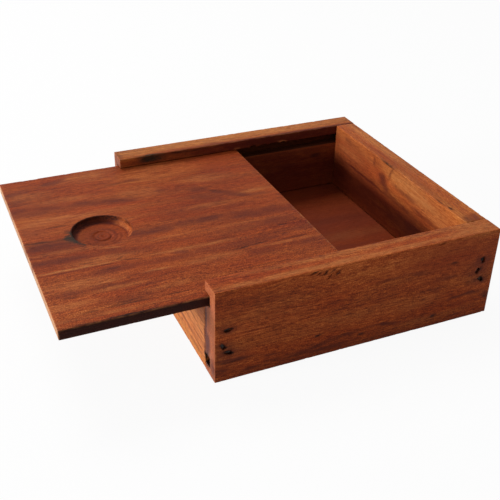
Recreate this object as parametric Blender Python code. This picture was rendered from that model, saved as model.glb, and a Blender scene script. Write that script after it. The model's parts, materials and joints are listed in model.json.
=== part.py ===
"""Badge display box: a small hardwood case whose lid slides in grooves in its side walls.

Four boards are butted into a frame and nailed through the side walls into the end walls. A thin
bottom panel floats in a groove round the inside, and the lid runs in a second groove near the top
of the side walls, over a lower front wall. A round coved recess in the lid takes a fingertip.

X runs across the box, Y along the lid's travel with the opening end at -Y, and Z up. The origin is
on the plane that the box stands on, halfway across the box and halfway along the box and its
drawn-out lid.
"""
import math

import bmesh
import bpy
from mathutils import Euler, Matrix, Vector

# Box, over its four walls
BOX_LENGTH = 0.127
BOX_WIDTH = 0.1315
BOX_HEIGHT = 0.0415
SIDE_WALL = 0.010
FRONT_WALL = 0.010
BACK_WALL = 0.0102

# Clearances
SEAM = 0.0003
OVERRUN = 0.002

# Rounding of the boards' outer edges
EDGE_EASE = 0.0005
EASE_SEGMENTS = 3

# Lid, and the groove that it slides in
LID_THICKNESS = 0.0042
LID_PLAY = 0.0003
LID_SIDE_PLAY = 0.0004
LID_SETBACK = 0.0008
LID_DRAWN_OUT = 0.0556
LID_EASE = 0.00035
LID_GROOVE_DEPTH = 0.0047
LIP_HEIGHT = 0.0045

# Finger recess in the lid, cut with a round-cornered bit that leaves a ring and a centre mark
RECESS_SETBACK = 0.0323
RECESS_OFFSET = 0.0022
RECESS_FLOOR_RADIUS = 0.0103
RECESS_COVE_RADIUS = 0.0022
RECESS_DEPTH = 0.0028
RECESS_STEPS = 72
COVE_STEPS = 8
RING_RADIUS = 0.0037
RING_WIDTH = 0.0006
RING_DEPTH = 0.0002
CENTRE_MARK_RADIUS = 0.0008
CENTRE_MARK_DEPTH = 0.0005

# Bottom panel, and the groove that holds it
PANEL_THICKNESS = 0.0036
PANEL_PLAY = 0.0003
PANEL_EDGE_PLAY = 0.0004
PANEL_GROOVE_DEPTH = 0.0045
PANEL_RISE = 0.0039

# Nails, with a bar-shaped head sunk under the wood's face
NAIL_LENGTH = 0.030
NAIL_WIDTH = 0.0011
NAIL_SHANK = 0.0013
NAIL_HEAD_LENGTH = 0.0026
NAIL_HEAD_HEIGHT = 0.0011
NAIL_POINT = 0.0026
NAIL_TIP_SHARE = 0.25
NAIL_SINK = 0.0009
NAIL_GAP = 0.0003

# Where the nails stand: the share of the end wall's thickness in from its outer face, and the
# share of the wood's height from the panel groove up to the lid groove
FRONT_NAIL_SHARES = ((0.52, 0.655), (0.32, 0.355), (0.55, 0.215))
BACK_NAIL_SHARES = ((0.60, 0.825), (0.82, 0.625), (0.58, 0.430))

# How far each nail's head is turned from level, in degrees, in the same order
FRONT_NAIL_TURNS = (8.0, -62.0, -4.0)
BACK_NAIL_TURNS = (88.0, 62.0, -52.0)

# Colour, roughness and metallic value of each finish
OILED_WOOD = ((0.29, 0.095, 0.035), 0.42, 0.0)
DARK_WOOD = ((0.17, 0.055, 0.025), 0.48, 0.0)
PALE_WOOD = ((0.46, 0.17, 0.06), 0.45, 0.0)
NAIL_STEEL = ((0.10, 0.09, 0.085), 0.55, 0.9)

# Places worked out from the sizes above
HALF_WIDTH = BOX_WIDTH / 2
BACK_FACE = (BOX_LENGTH + LID_DRAWN_OUT) / 2
FRONT_FACE = BACK_FACE - BOX_LENGTH
INNER_HALF_WIDTH = HALF_WIDTH - SIDE_WALL

LID_GROOVE_TOP = BOX_HEIGHT - LIP_HEIGHT
LID_BOTTOM = LID_GROOVE_TOP - LID_PLAY - LID_THICKNESS
LID_GROOVE_FLOOR = LID_BOTTOM - LID_PLAY
LID_HALF_WIDTH = INNER_HALF_WIDTH + LID_GROOVE_DEPTH - LID_SIDE_PLAY
LID_LENGTH = BOX_LENGTH - BACK_WALL - SEAM - LID_SETBACK

PANEL_BOTTOM = PANEL_RISE + PANEL_PLAY
PANEL_TOP = PANEL_BOTTOM + PANEL_THICKNESS
PANEL_GROOVE_TOP = PANEL_TOP + PANEL_PLAY
PANEL_REACH = PANEL_GROOVE_DEPTH - PANEL_EDGE_PLAY


def clear_scene():
    """Removes every object that the file holds."""
    for thing in list(bpy.data.objects):
        bpy.data.objects.remove(thing, do_unlink=True)


def make_material(name, finish):
    """A Principled material with a finish's colour, roughness and metallic value."""
    colour, roughness, metallic = finish
    material = bpy.data.materials.new(name)
    material.use_nodes = True
    shader = material.node_tree.nodes["Principled BSDF"]
    shader.inputs["Base Color"].default_value = (*colour, 1.0)
    shader.inputs["Roughness"].default_value = roughness
    shader.inputs["Metallic"].default_value = metallic
    material.diffuse_color = (*colour, 1.0)
    return material


def add_object(name, mesh, location=(0, 0, 0), parent=None):
    """Links a mesh into the scene as a named object."""
    thing = bpy.data.objects.new(name, mesh)
    thing.location = location
    thing.parent = parent
    bpy.context.collection.objects.link(thing)
    return thing


def mesh_from(bm, name, material=None):
    """Turns a bmesh into a mesh with its faces pointing out."""
    bmesh.ops.recalc_face_normals(bm, faces=bm.faces)
    mesh = bpy.data.meshes.new(name)
    bm.to_mesh(mesh)
    bm.free()
    if material:
        mesh.materials.append(material)
    return mesh


def extrude_outline(outline, travel):
    """A closed prism: the outline's points joined to one face and carried along travel."""
    bm = bmesh.new()
    face = bm.faces.new([bm.verts.new(point) for point in outline])
    carried = bmesh.ops.extrude_face_region(bm, geom=[face])
    moved = [item for item in carried["geom"] if isinstance(item, bmesh.types.BMVert)]
    bmesh.ops.translate(bm, verts=moved, vec=travel)
    return bm


def edges_on(bm, planes):
    """The edges that lie on two or more of the planes, each given as an axis and a value."""
    def lies_on(edge, axis, value):
        return all(math.isclose(corner.co[axis], value, abs_tol=SEAM / 10) for corner in edge.verts)

    return [edge for edge in bm.edges if sum(lies_on(edge, *plane) for plane in planes) > 1]


def ease(bm, edges, width):
    """Rounds edges over by a small radius."""
    bmesh.ops.bevel(bm, geom=edges, offset=width, segments=EASE_SEGMENTS, profile=0.5,
                    affect="EDGES", clamp_overlap=True)


def cut(thing, cutters):
    """Subtracts each cutter from an object with a live Boolean modifier."""
    for cutter in cutters:
        modifier = thing.modifiers.new(cutter.name, "BOOLEAN")
        modifier.operation = "DIFFERENCE"
        modifier.solver = "EXACT"
        modifier.object = cutter


def hide_cutter(cutter):
    """Marks an object as a tool that only cuts others."""
    cutter.hide_render = True
    cutter.display_type = "WIRE"


def side_wall(name, side, material):
    """A full-length wall with two grooves in its inner face, at +X (side 1) or -X (side -1).

    Its section is drawn from the outer face inwards and carried from the front to the back, so
    both grooves run out through the wall's ends.
    """
    inner = -SIDE_WALL
    lid_groove = inner + LID_GROOVE_DEPTH
    panel_groove = inner + PANEL_GROOVE_DEPTH
    section = [
        (0, 0),
        (inner, 0),
        (inner, PANEL_RISE),
        (panel_groove, PANEL_RISE),
        (panel_groove, PANEL_GROOVE_TOP),
        (inner, PANEL_GROOVE_TOP),
        (inner, LID_GROOVE_FLOOR),
        (lid_groove, LID_GROOVE_FLOOR),
        (lid_groove, LID_GROOVE_TOP),
        (inner, LID_GROOVE_TOP),
        (inner, BOX_HEIGHT),
        (0, BOX_HEIGHT),
    ]
    bm = extrude_outline([(side * x, 0, z) for x, z in section], (0, BOX_LENGTH, 0))
    outer_planes = [(0, 0), (2, 0), (2, BOX_HEIGHT), (1, 0), (1, BOX_LENGTH)]
    lip_planes = [(0, side * inner), (2, BOX_HEIGHT)]
    ease(bm, list(set(edges_on(bm, outer_planes) + edges_on(bm, lip_planes))), EDGE_EASE)
    return add_object(name, mesh_from(bm, name, material), (side * HALF_WIDTH, FRONT_FACE, 0))


def end_wall(name, outer_face, inward, thickness, height, material):
    """A wall between the side walls, with the bottom panel's groove in its inner face.

    Its section is drawn from the outer face inwards and carried across the box. inward is 1 where
    the inner face lies towards +Y, and -1 where it lies towards -Y.
    """
    groove = thickness - PANEL_GROOVE_DEPTH
    section = [
        (0, 0),
        (thickness, 0),
        (thickness, PANEL_RISE),
        (groove, PANEL_RISE),
        (groove, PANEL_GROOVE_TOP),
        (thickness, PANEL_GROOVE_TOP),
        (thickness, height),
        (0, height),
    ]
    half_length = INNER_HALF_WIDTH - SEAM
    bm = extrude_outline([(-half_length, inward * y, z) for y, z in section],
                         (half_length + half_length, 0, 0))
    outer_planes = [(1, 0), (2, 0), (2, height)]
    top_planes = [(1, inward * thickness), (2, height)]
    ease(bm, list(set(edges_on(bm, outer_planes) + edges_on(bm, top_planes))), EDGE_EASE)
    return add_object(name, mesh_from(bm, name, material), (0, outer_face, 0))


def board(name, low, high, easing, material, location=(0, 0, 0), parent=None):
    """A flat board between two corners, with all its edges rounded over by easing."""
    outline = [(low.x, low.y, low.z), (high.x, low.y, low.z), (high.x, high.y, low.z), (low.x, high.y, low.z)]
    bm = extrude_outline(outline, (0, 0, high.z - low.z))
    ease(bm, bm.edges[:], easing)
    return add_object(name, mesh_from(bm, name, material), location, parent)


def bottom_panel(material):
    """The thin panel that reaches into the groove in all four walls."""
    front = FRONT_FACE + FRONT_WALL - PANEL_REACH
    back = BACK_FACE - BACK_WALL + PANEL_REACH
    reach = INNER_HALF_WIDTH + PANEL_REACH
    return board("bottom_panel", Vector((-reach, front, PANEL_BOTTOM)), Vector((reach, back, PANEL_TOP)),
                 LID_EASE, material)


def recess_profile():
    """The recess's half section as points of radius and height over the lid's top face.

    From the axis out: the centre mark, the floor with the ring that the bit leaves, a cove that is
    an arc tangent to the floor, and a straight wall up to the lid's face where the recess is
    deeper than the cove.
    """
    points = [
        (0, -RECESS_DEPTH - CENTRE_MARK_DEPTH),
        (CENTRE_MARK_RADIUS, -RECESS_DEPTH),
        (RING_RADIUS - RING_WIDTH / 2, -RECESS_DEPTH),
        (RING_RADIUS, -RECESS_DEPTH - RING_DEPTH),
        (RING_RADIUS + RING_WIDTH / 2, -RECESS_DEPTH),
    ]
    end_angle = math.acos(max(0.0, 1 - RECESS_DEPTH / RECESS_COVE_RADIUS))
    for step in range(COVE_STEPS + 1):
        angle = end_angle * step / COVE_STEPS
        radius = RECESS_FLOOR_RADIUS + RECESS_COVE_RADIUS * math.sin(angle)
        points.append((radius, RECESS_COVE_RADIUS * (1 - math.cos(angle)) - RECESS_DEPTH))
    rim, _ = points[-1]
    points.append((rim, OVERRUN))
    points.append((0, OVERRUN))
    return points


def recess_cutter(parent):
    """The turned body that cuts the finger recess, centred on the recess at the lid's top face."""
    bm = bmesh.new()
    points = [bm.verts.new((radius, 0, height)) for radius, height in recess_profile()]
    edges = [bm.edges.new(pair) for pair in zip(points, points[1:])]
    bmesh.ops.spin(bm, geom=points + edges, cent=(0, 0, 0), axis=(0, 0, 1), angle=math.tau,
                   steps=RECESS_STEPS, use_duplicate=False)
    bmesh.ops.remove_doubles(bm, verts=bm.verts, dist=SEAM / 100)
    mesh = mesh_from(bm, "recess_cutter")
    mesh.shade_smooth()
    mesh.set_sharp_from_angle(angle=math.radians(35))
    place = (-RECESS_OFFSET, RECESS_SETBACK, LID_THICKNESS)
    cutter = add_object("recess_cutter", mesh, place, parent)
    hide_cutter(cutter)
    return cutter


def sliding_lid(material):
    """The lid, drawn out along its slide, with the finger recess near its front edge.

    The slide's empty lies on the lid's underside where its front edge is when the lid is home,
    and the lid's place along the empty's Y axis opens and shuts it.
    """
    slide = add_object("lid_slide", None, (0, FRONT_FACE + LID_SETBACK, LID_BOTTOM))
    low = Vector((-LID_HALF_WIDTH, 0, 0))
    high = Vector((LID_HALF_WIDTH, LID_LENGTH, LID_THICKNESS))
    drawn_out = (0, -LID_DRAWN_OUT - LID_SETBACK, 0)
    lid = board("sliding_lid", low, high, LID_EASE, material, drawn_out, slide)
    cut(lid, [recess_cutter(lid)])
    return lid


def nail_outline(gap, head_reach):
    """A nail's side view, grown by gap all round, with its head's top at height head_reach.

    The nail's head lies under the origin by NAIL_SINK, and its point is straight below.
    """
    half_head = NAIL_HEAD_LENGTH / 2 + gap
    half_shank = NAIL_SHANK / 2 + gap
    half_tip = NAIL_SHANK * NAIL_TIP_SHARE / 2 + gap
    head_foot = -NAIL_SINK - NAIL_HEAD_HEIGHT - gap
    tip = -NAIL_SINK - NAIL_LENGTH - gap
    shoulder = tip + NAIL_POINT
    right = [(half_head, head_reach), (half_head, head_foot), (half_shank, head_foot),
             (half_shank, shoulder), (half_tip, tip)]
    left = [(-across, height) for across, height in reversed(right)]
    return right + left


def nail_body(name, gap, head_reach, material=None):
    """A nail, or the pocket that it fills, as its side view carried across its width."""
    half_width = NAIL_WIDTH / 2 + gap
    outline = [(across, -half_width, height) for across, height in nail_outline(gap, head_reach)]
    return mesh_from(extrude_outline(outline, (0, half_width + half_width, 0)), name, material)


def nail_places():
    """Name, side, place along Y, height and turn of each nail."""
    nailed_height = LID_GROOVE_FLOOR - PANEL_GROOVE_TOP
    ends = (
        ("front", FRONT_FACE, FRONT_WALL, FRONT_NAIL_SHARES, FRONT_NAIL_TURNS),
        ("back", BACK_FACE, -BACK_WALL, BACK_NAIL_SHARES, BACK_NAIL_TURNS),
    )
    for end, face, inward, shares, turns in ends:
        for side_name, side in (("right", 1), ("left", -1)):
            for number, ((depth_share, height_share), turn) in enumerate(zip(shares, turns), 1):
                name = f"{side_name}_{end}_nail_{number}"
                height = PANEL_GROOVE_TOP + nailed_height * height_share
                yield end, name, side, face + inward * depth_share, height, math.radians(turn)


def place_nail(thing, side, along, height, turn):
    """Points a nail's head out of a side wall and turns it about its own axis."""
    outwards = Euler((0, side * math.pi / 2, 0)).to_matrix().to_4x4()
    lengthwise = Matrix.Rotation(math.pi / 2, 4, "Z")
    turned = Matrix.Rotation(side * turn, 4, "Z")
    thing.matrix_world = Matrix.Translation((side * HALF_WIDTH, along, height)) @ outwards @ lengthwise @ turned


def nails(walls, material):
    """The nails, and the pockets that they fill in the side walls and the end walls."""
    nail_mesh = nail_body("nail", 0, -NAIL_SINK, material)
    pocket_mesh = nail_body("nail_pocket", NAIL_GAP, OVERRUN)
    for end, name, side, along, height, turn in nail_places():
        pocket = add_object(f"{name}_pocket", pocket_mesh)
        hide_cutter(pocket)
        for thing in (add_object(name, nail_mesh), pocket):
            place_nail(thing, side, along, height, turn)
        cut(walls[side], [pocket])
        cut(walls[end], [pocket])


def build():
    """Makes every piece of the box."""
    clear_scene()
    walls = {
        1: side_wall("right_side_wall", 1, make_material("right_side_wood", DARK_WOOD)),
        -1: side_wall("left_side_wall", -1, make_material("left_side_wood", OILED_WOOD)),
        "front": end_wall("front_end_wall", FRONT_FACE, 1, FRONT_WALL, LID_GROOVE_FLOOR,
                          make_material("front_end_wood", PALE_WOOD)),
        "back": end_wall("back_end_wall", BACK_FACE, -1, BACK_WALL, BOX_HEIGHT,
                         make_material("back_end_wood", PALE_WOOD)),
    }
    bottom_panel(make_material("bottom_panel_wood", DARK_WOOD))
    sliding_lid(make_material("lid_wood", OILED_WOOD))
    nails(walls, make_material("nail_steel", NAIL_STEEL))


build()
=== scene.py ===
"""Looks of the badge display box: oiled hardwood boards, a coved finger recess and sunk nails.

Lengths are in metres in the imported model's frame, with X across the box, Y along the lid's travel
and the opening end at -Y. The wood's patterns are laid out in millimetres on each board: u runs
along the grain, v across the board's best face and w from that face into the wood.
"""
import json
import logging
import math
from dataclasses import dataclass, field
from enum import Enum
from itertools import groupby
from typing import Any, Callable, Mapping, Sequence

import bpy
import numpy as np
from mathutils import Matrix, Vector


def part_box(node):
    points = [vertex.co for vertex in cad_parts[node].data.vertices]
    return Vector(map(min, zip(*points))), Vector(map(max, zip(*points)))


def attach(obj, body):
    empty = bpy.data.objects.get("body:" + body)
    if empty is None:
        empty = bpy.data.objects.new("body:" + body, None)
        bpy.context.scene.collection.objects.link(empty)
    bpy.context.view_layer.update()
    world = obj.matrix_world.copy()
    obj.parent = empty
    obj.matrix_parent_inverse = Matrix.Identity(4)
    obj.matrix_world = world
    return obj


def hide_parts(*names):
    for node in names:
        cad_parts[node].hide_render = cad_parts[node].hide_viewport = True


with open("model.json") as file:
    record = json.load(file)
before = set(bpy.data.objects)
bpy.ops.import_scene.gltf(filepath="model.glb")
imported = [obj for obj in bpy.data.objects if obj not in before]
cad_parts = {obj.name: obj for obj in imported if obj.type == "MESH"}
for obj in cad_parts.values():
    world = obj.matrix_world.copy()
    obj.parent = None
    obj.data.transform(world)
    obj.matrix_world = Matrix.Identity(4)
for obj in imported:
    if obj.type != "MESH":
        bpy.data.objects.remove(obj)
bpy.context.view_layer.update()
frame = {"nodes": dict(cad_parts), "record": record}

LOG = logging.getLogger("badge_display_box")

MM = 0.001
Triple = tuple[float, float, float]
Colour = tuple[float, float, float]
# An edge whose faces turn by more than this is shaded sharp.
SHARP_ANGLE = math.radians(32)
# What a rounded corner keeps of its radius where the section is drawn in by more.
KEPT_RADIUS = 0.00002
# Noise from 0 to 1 is spread from minus this to this, so that it seldom passes 1 or -1.
NOISE_REACH = 1.8
# A mark is whole up to the first distance from its middle and gone past the second, in its radii.
MARK_CORE, MARK_REACH = 0.25, 1.55


def operator(operation: str, reflected: bool = False) -> Callable[..., "Wire"]:
    """An operator of Wire.

    Args:
        operation: A Math or Vector Math node's operation.
        reflected: Whether the wire stands to the right of the operator.

    Returns:
        The method.
    """
    def apply(wire: "Wire", *others: Any) -> "Wire":
        """The operation on the wire and, where it takes one, the other value."""
        return wire.graph.sum_up(operation, *((*others, wire) if reflected else (wire, *others)))

    return apply


@dataclass(frozen=True)
class Wire:
    """A node's output socket that takes part in Python sums.

    A sum on numbers adds a Math node. A sum in which a vector or a colour takes part adds a
    Vector Math node.
    """

    graph: "Graph"
    socket: bpy.types.NodeSocket

    __add__, __radd__ = operator("ADD"), operator("ADD", reflected=True)
    __sub__, __rsub__ = operator("SUBTRACT"), operator("SUBTRACT", reflected=True)
    __mul__, __rmul__ = operator("MULTIPLY"), operator("MULTIPLY", reflected=True)
    __truediv__ = operator("DIVIDE")
    __abs__ = operator("ABSOLUTE")

    @property
    def is_vector(self) -> bool:
        """Whether the socket carries a vector or a colour."""
        return self.socket.type in {"VECTOR", "RGBA"}


class Graph:
    """The node tree of a material or a world, written as expressions on its sockets."""

    def __init__(self, owner: bpy.types.ID) -> None:
        """Empties the tree of a new material or world."""
        owner.use_nodes = True
        self.owner = owner
        self.tree = owner.node_tree
        self.tree.nodes.clear()

    @staticmethod
    def _find(sockets: Sequence[bpy.types.NodeSocket], key: str | int) -> bpy.types.NodeSocket:
        """The socket of that number, identifier or name."""
        if isinstance(key, int):
            return sockets[key]
        by_identifier = [socket for socket in sockets if socket.identifier == key]
        by_name = [socket for socket in sockets if socket.name == key]
        return (by_identifier or by_name)[0]

    def node(self, kind: str, settings: Mapping[str, Any] | None = None,
             inputs: Mapping[str | int, Any] | None = None, output: str | int = 0) -> Wire:
        """Adds a node.

        Args:
            kind: The node's type.
            settings: Its settings, set before its sockets. stops sets a colour ramp's stops.
            inputs: Values or wires by socket number, identifier or name.
            output: The output socket to return.

        Returns:
            The wire that leaves the node.
        """
        made = self.tree.nodes.new(kind)
        for key, value in (settings or {}).items():
            if key == "stops":
                self._set_stops(made.color_ramp, value)
            else:
                setattr(made, key, value)
        for key, value in (inputs or {}).items():
            socket = self._find(made.inputs, key)
            if isinstance(value, Wire):
                self.tree.links.new(value.socket, socket)
            elif socket.type == "RGBA" and len(value) == 3:
                socket.default_value = (*value, 1.0)
            else:
                socket.default_value = value
        return Wire(self, self._find(made.outputs, output))

    @staticmethod
    def _set_stops(ramp: bpy.types.ColorRamp, stops: Sequence[tuple[float, Colour]]) -> None:
        """Gives a colour ramp its stops, each a place and a colour."""
        while len(ramp.elements) > 1:
            ramp.elements.remove(ramp.elements[-1])
        for number, (place, colour) in enumerate(stops):
            element = ramp.elements[0] if number == 0 else ramp.elements.new(place)
            element.position = place
            element.color = (*colour, 1.0)

    def sum_up(self, operation: str, *values: Any) -> Wire:
        """One step of arithmetic on wires and numbers.

        Args:
            operation: A Math or Vector Math node's operation.
            values: Wires, numbers or triples.

        Returns:
            The result, a vector where one of the values is one.
        """
        vector = any(isinstance(v, tuple) or (isinstance(v, Wire) and v.is_vector) for v in values)
        if vector:
            values = tuple((v,) * 3 if isinstance(v, (int, float)) else v for v in values)
        kind = "ShaderNodeVectorMath" if vector else "ShaderNodeMath"
        return self.node(kind, {"operation": operation}, dict(enumerate(values)))

    def smooth(self, value: Wire, low: float, high: float, top: float = 1.0) -> Wire:
        """0 at low, top at high and a soft step between them; low may be the larger one."""
        return self.node("ShaderNodeMapRange", {"interpolation_type": "SMOOTHSTEP"},
                         {"Value": value, "From Min": low, "From Max": high, "To Min": 0.0, "To Max": top})

    def mix(self, factor: Any, first: Any, second: Any, blend: str = "MIX") -> Wire:
        """A blend of two colours, first at factor 0 and second at factor 1."""
        return self.node("ShaderNodeMix", {"data_type": "RGBA", "blend_type": blend},
                         {"Factor_Float": factor, "A_Color": first, "B_Color": second}, "Result_Color")

    def noise(self, place: Wire, scale: Triple, seed: float, detail: float = 2.0,
              rough: float = 0.5) -> Wire:
        """Noise about 0 that seldom passes 1 or -1.

        Args:
            place: Where on the board, as a vector.
            scale: Waves per unit of place along each axis.
            seed: Shifts the pattern.
            detail: Octaves past the first.
            rough: Share that each octave keeps.

        Returns:
            The noise as a number.
        """
        moved = self.sum_up("MULTIPLY_ADD", place, scale, (seed, seed * 0.37, seed * 0.73))
        raw = self.node("ShaderNodeTexNoise", {"noise_dimensions": "3D"},
                        {"Vector": moved, "Scale": 1.0, "Detail": detail, "Roughness": rough}, "Fac")
        return raw * (2 * NOISE_REACH) - NOISE_REACH

    def split(self, vector: Wire) -> tuple[Wire, Wire, Wire]:
        """A vector's three parts."""
        parts = self.node("ShaderNodeSeparateXYZ", inputs={0: vector})
        sockets = parts.socket.node.outputs
        return Wire(self, sockets[0]), Wire(self, sockets[1]), Wire(self, sockets[2])

    def join(self, x: Any, y: Any, z: Any) -> Wire:
        """A vector of three parts."""
        return self.node("ShaderNodeCombineXYZ", inputs={0: x, 1: y, 2: z})

    def length(self, vector: Wire) -> Wire:
        """A vector's length."""
        return self.node("ShaderNodeVectorMath", {"operation": "LENGTH"}, {0: vector}, "Value")

    def dot(self, vector: Wire, way: Triple) -> Wire:
        """How far a vector reaches along a direction."""
        return self.node("ShaderNodeVectorMath", {"operation": "DOT_PRODUCT"}, {0: vector, 1: way}, "Value")

    def bump(self, height: Wire, strength: float, distance: float) -> Wire:
        """The normal of a surface with a relief on it."""
        return self.node("ShaderNodeBump", inputs={
            "Height": height, "Strength": strength, "Distance": distance})

    def finish(self, shader: Wire) -> bpy.types.ID:
        """Wires the shader to the output, and returns the material or world."""
        kind = "World" if isinstance(self.owner, bpy.types.World) else "Material"
        made = self.tree.nodes.new(f"ShaderNodeOutput{kind}")
        self.tree.links.new(shader.socket, made.inputs["Surface"])
        return self.owner


class Tint(Enum):
    """What a mark is, in the wood or as painted shade and light, with its colour and how far the fibres
    break it up.
    """

    BLUSH = ((0.235, 0.038, 0.012), 0.30)
    HONEY = ((0.500, 0.190, 0.058), 0.45)
    GOLD = ((0.385, 0.122, 0.036), 0.65)
    SHADE = ((0.085, 0.013, 0.008), 0.30)
    STREAK = ((0.108, 0.021, 0.011), 0.55)
    PLUM = ((0.094, 0.023, 0.016), 0.40)
    KNOT = ((0.060, 0.014, 0.010), 0.40)
    CRACK = ((0.026, 0.008, 0.006), 0.60)
    STAIN = ((0.028, 0.018, 0.012), 0.55)
    BARE = ((0.520, 0.170, 0.055), 0.45)
    # Black of the nails' iron stains, and painted shade in the recess's cove and round the panel groove's
    # notch.
    IRON_AND_SHADE = ((0.012, 0.004, 0.003), 0.25)

    @property
    def colour(self) -> Colour:
        """The mark's colour."""
        return self.value[0]

    @property
    def broken(self) -> float:
        """How far the fibres break the mark up, from 0 to 1."""
        return self.value[1]


class Pattern(Enum):
    """The wood's noises: waves per millimetre on u, v and w, then seed shift, octaves and roughness."""

    FIBRE = ((0.060, 2.1, 2.1), 0, 2.0, 0.6)
    FLECK = ((0.38, 3.1, 3.1), 3, 1.0, 0.5)
    WAVE = ((0.30, 1.05, 1.05), 5, 1.5, 0.5)
    GRIT = ((1.9, 2.9, 2.9), 7, 1.5, 0.6)
    DRIFT = ((0.014, 0.035, 0.035), 11, 1.0, 0.5)
    SWAY = ((0.060, 0.15, 0.15), 13, 1.0, 0.5)
    BAND = ((0.20, 0.20, 0.20), 17, 4.0, 0.62)
    ZONE = ((0.013, 0.055, 0.055), 19, 1.0, 0.5)
    RAGGED = ((0.10, 0.30, 0.30), 23, 2.0, 0.6)
    WARMTH = ((0.022, 0.16, 0.16), 29, 2.0, 0.55)
    END_RINGS = ((1.0, 0.22, 1.25), 31, 2.0, 0.6)


class Dashes(Enum):
    """Dashes along the grain, one in a Voronoi cell.

    The values are the cells per millimetre, a dash's outer and inner radius in cells, and the two
    shares of a cell's random number between which its dash fades in.
    """

    PORES = ((0.27, 2.1, 2.1), (0.36, 0.10), (0.50, 0.75))
    # The specks are pale dust and painted glints.
    DUST_AND_GLINTS = ((0.9, 2.4, 2.4), (0.22, 0.06), (0.86, 0.93))


@dataclass(frozen=True)
class Mark:
    """A streak, knot, stain or patch of painted shade or light at a place in a board, in millimetres on the
    board's u, v and w.
    """

    tint: Tint
    along: float
    across: float
    long: float
    wide: float
    turn: float = 0.0
    strength: float = 0.6
    inside: float = 0.0
    deep: float = 5.0


@dataclass(frozen=True)
class Arc:
    """A dark or pale arc round a point of a board's face, in millimetres on u, v and w.

    The arc is strongest towards the direction at angle toward, in degrees from u to v, and fades
    where the cosine of the angle from it falls to fades_at.
    """

    tint: Tint
    along: float
    across: float
    radius: float
    wide: float
    toward: float
    strength: float
    fades_at: float = 0.0
    ragged: float = 0.0

    def strength_at(self, graph: Graph, grain: Wire, lively: Wire) -> Wire:
        """The arc's strength at a place, roughened by the fibres."""
        flat = (grain - (self.along, self.across, 0.0)) * (1.0, 1.0, 0.0)
        distance = graph.length(flat)
        angle = math.radians(self.toward)
        ahead = graph.dot(flat, (math.cos(angle), math.sin(angle), 0.0))
        off = abs(distance + lively * self.ragged - (self.radius + 0.5 * self.ragged))
        facing = graph.smooth(ahead / distance, self.fades_at, self.fades_at * 0.5 + 0.5)
        return graph.smooth(off, self.wide, self.wide * 0.25, self.strength) * facing


@dataclass(frozen=True)
class Groove:
    """A groove's dark inside, dirt and painted shade: its sides on v, and its mouth and floor on w, in
    millimetres.

    The dark fades over side_fade, past each side, and over depth_fade, shares of the depth from
    the middle.
    """

    across: tuple[float, float]
    mouth: float
    floor: float
    side_fade: tuple[float, float] = (0.25, 0.05)
    depth_fade: tuple[float, float] = (0.60, 0.52)

    def shade_at(self, graph: Graph, grain: Wire) -> Wire:
        """How dark the wood is at a place: 1 in the groove and 0 elsewhere."""
        _, v, w = graph.split(grain)
        middle, half = sum(self.across) / 2, (self.across[1] - self.across[0]) / 2
        depth = abs(self.floor - self.mouth)
        between = graph.smooth(abs(v - middle), *(half + fade for fade in self.side_fade))
        inside = abs(w - (self.floor + self.mouth) / 2)
        return between * graph.smooth(inside, *(depth * fade for fade in self.depth_fade))


@dataclass(frozen=True)
class Axes:
    """How a board's u, v and w lie in the frame, and the board's size along them in millimetres."""

    corner: Triple
    along: Triple
    across: Triple
    inward: Triple
    size: Triple

    @classmethod
    def of(cls, node: str, along: Triple, across: Triple, inward: Triple) -> "Axes":
        """A board's axes, from the corner of its box where u, v and w start.

        Args:
            node: The board's node.
            along: The grain's direction.
            across: The direction across the board's best face.
            inward: The direction from that face into the wood.

        Returns:
            The axes.
        """
        low, high = (np.array(corner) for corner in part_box(node))
        rises = np.array(along) + np.array(across) + np.array(inward)
        corner = tuple(float(part) for part in np.where(rises > 0, low, high))
        size = tuple(float(abs((high - low) @ np.array(axis))) / MM for axis in (along, across, inward))
        return cls(corner, along, across, inward, size)

    def locate(self, point: Sequence[float]) -> Triple:
        """A point of the frame in millimetres along u, v and w."""
        offset = (np.array(point) - np.array(self.corner)) / MM
        return tuple(float(offset @ np.array(axis)) for axis in (self.along, self.across, self.inward))


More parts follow.
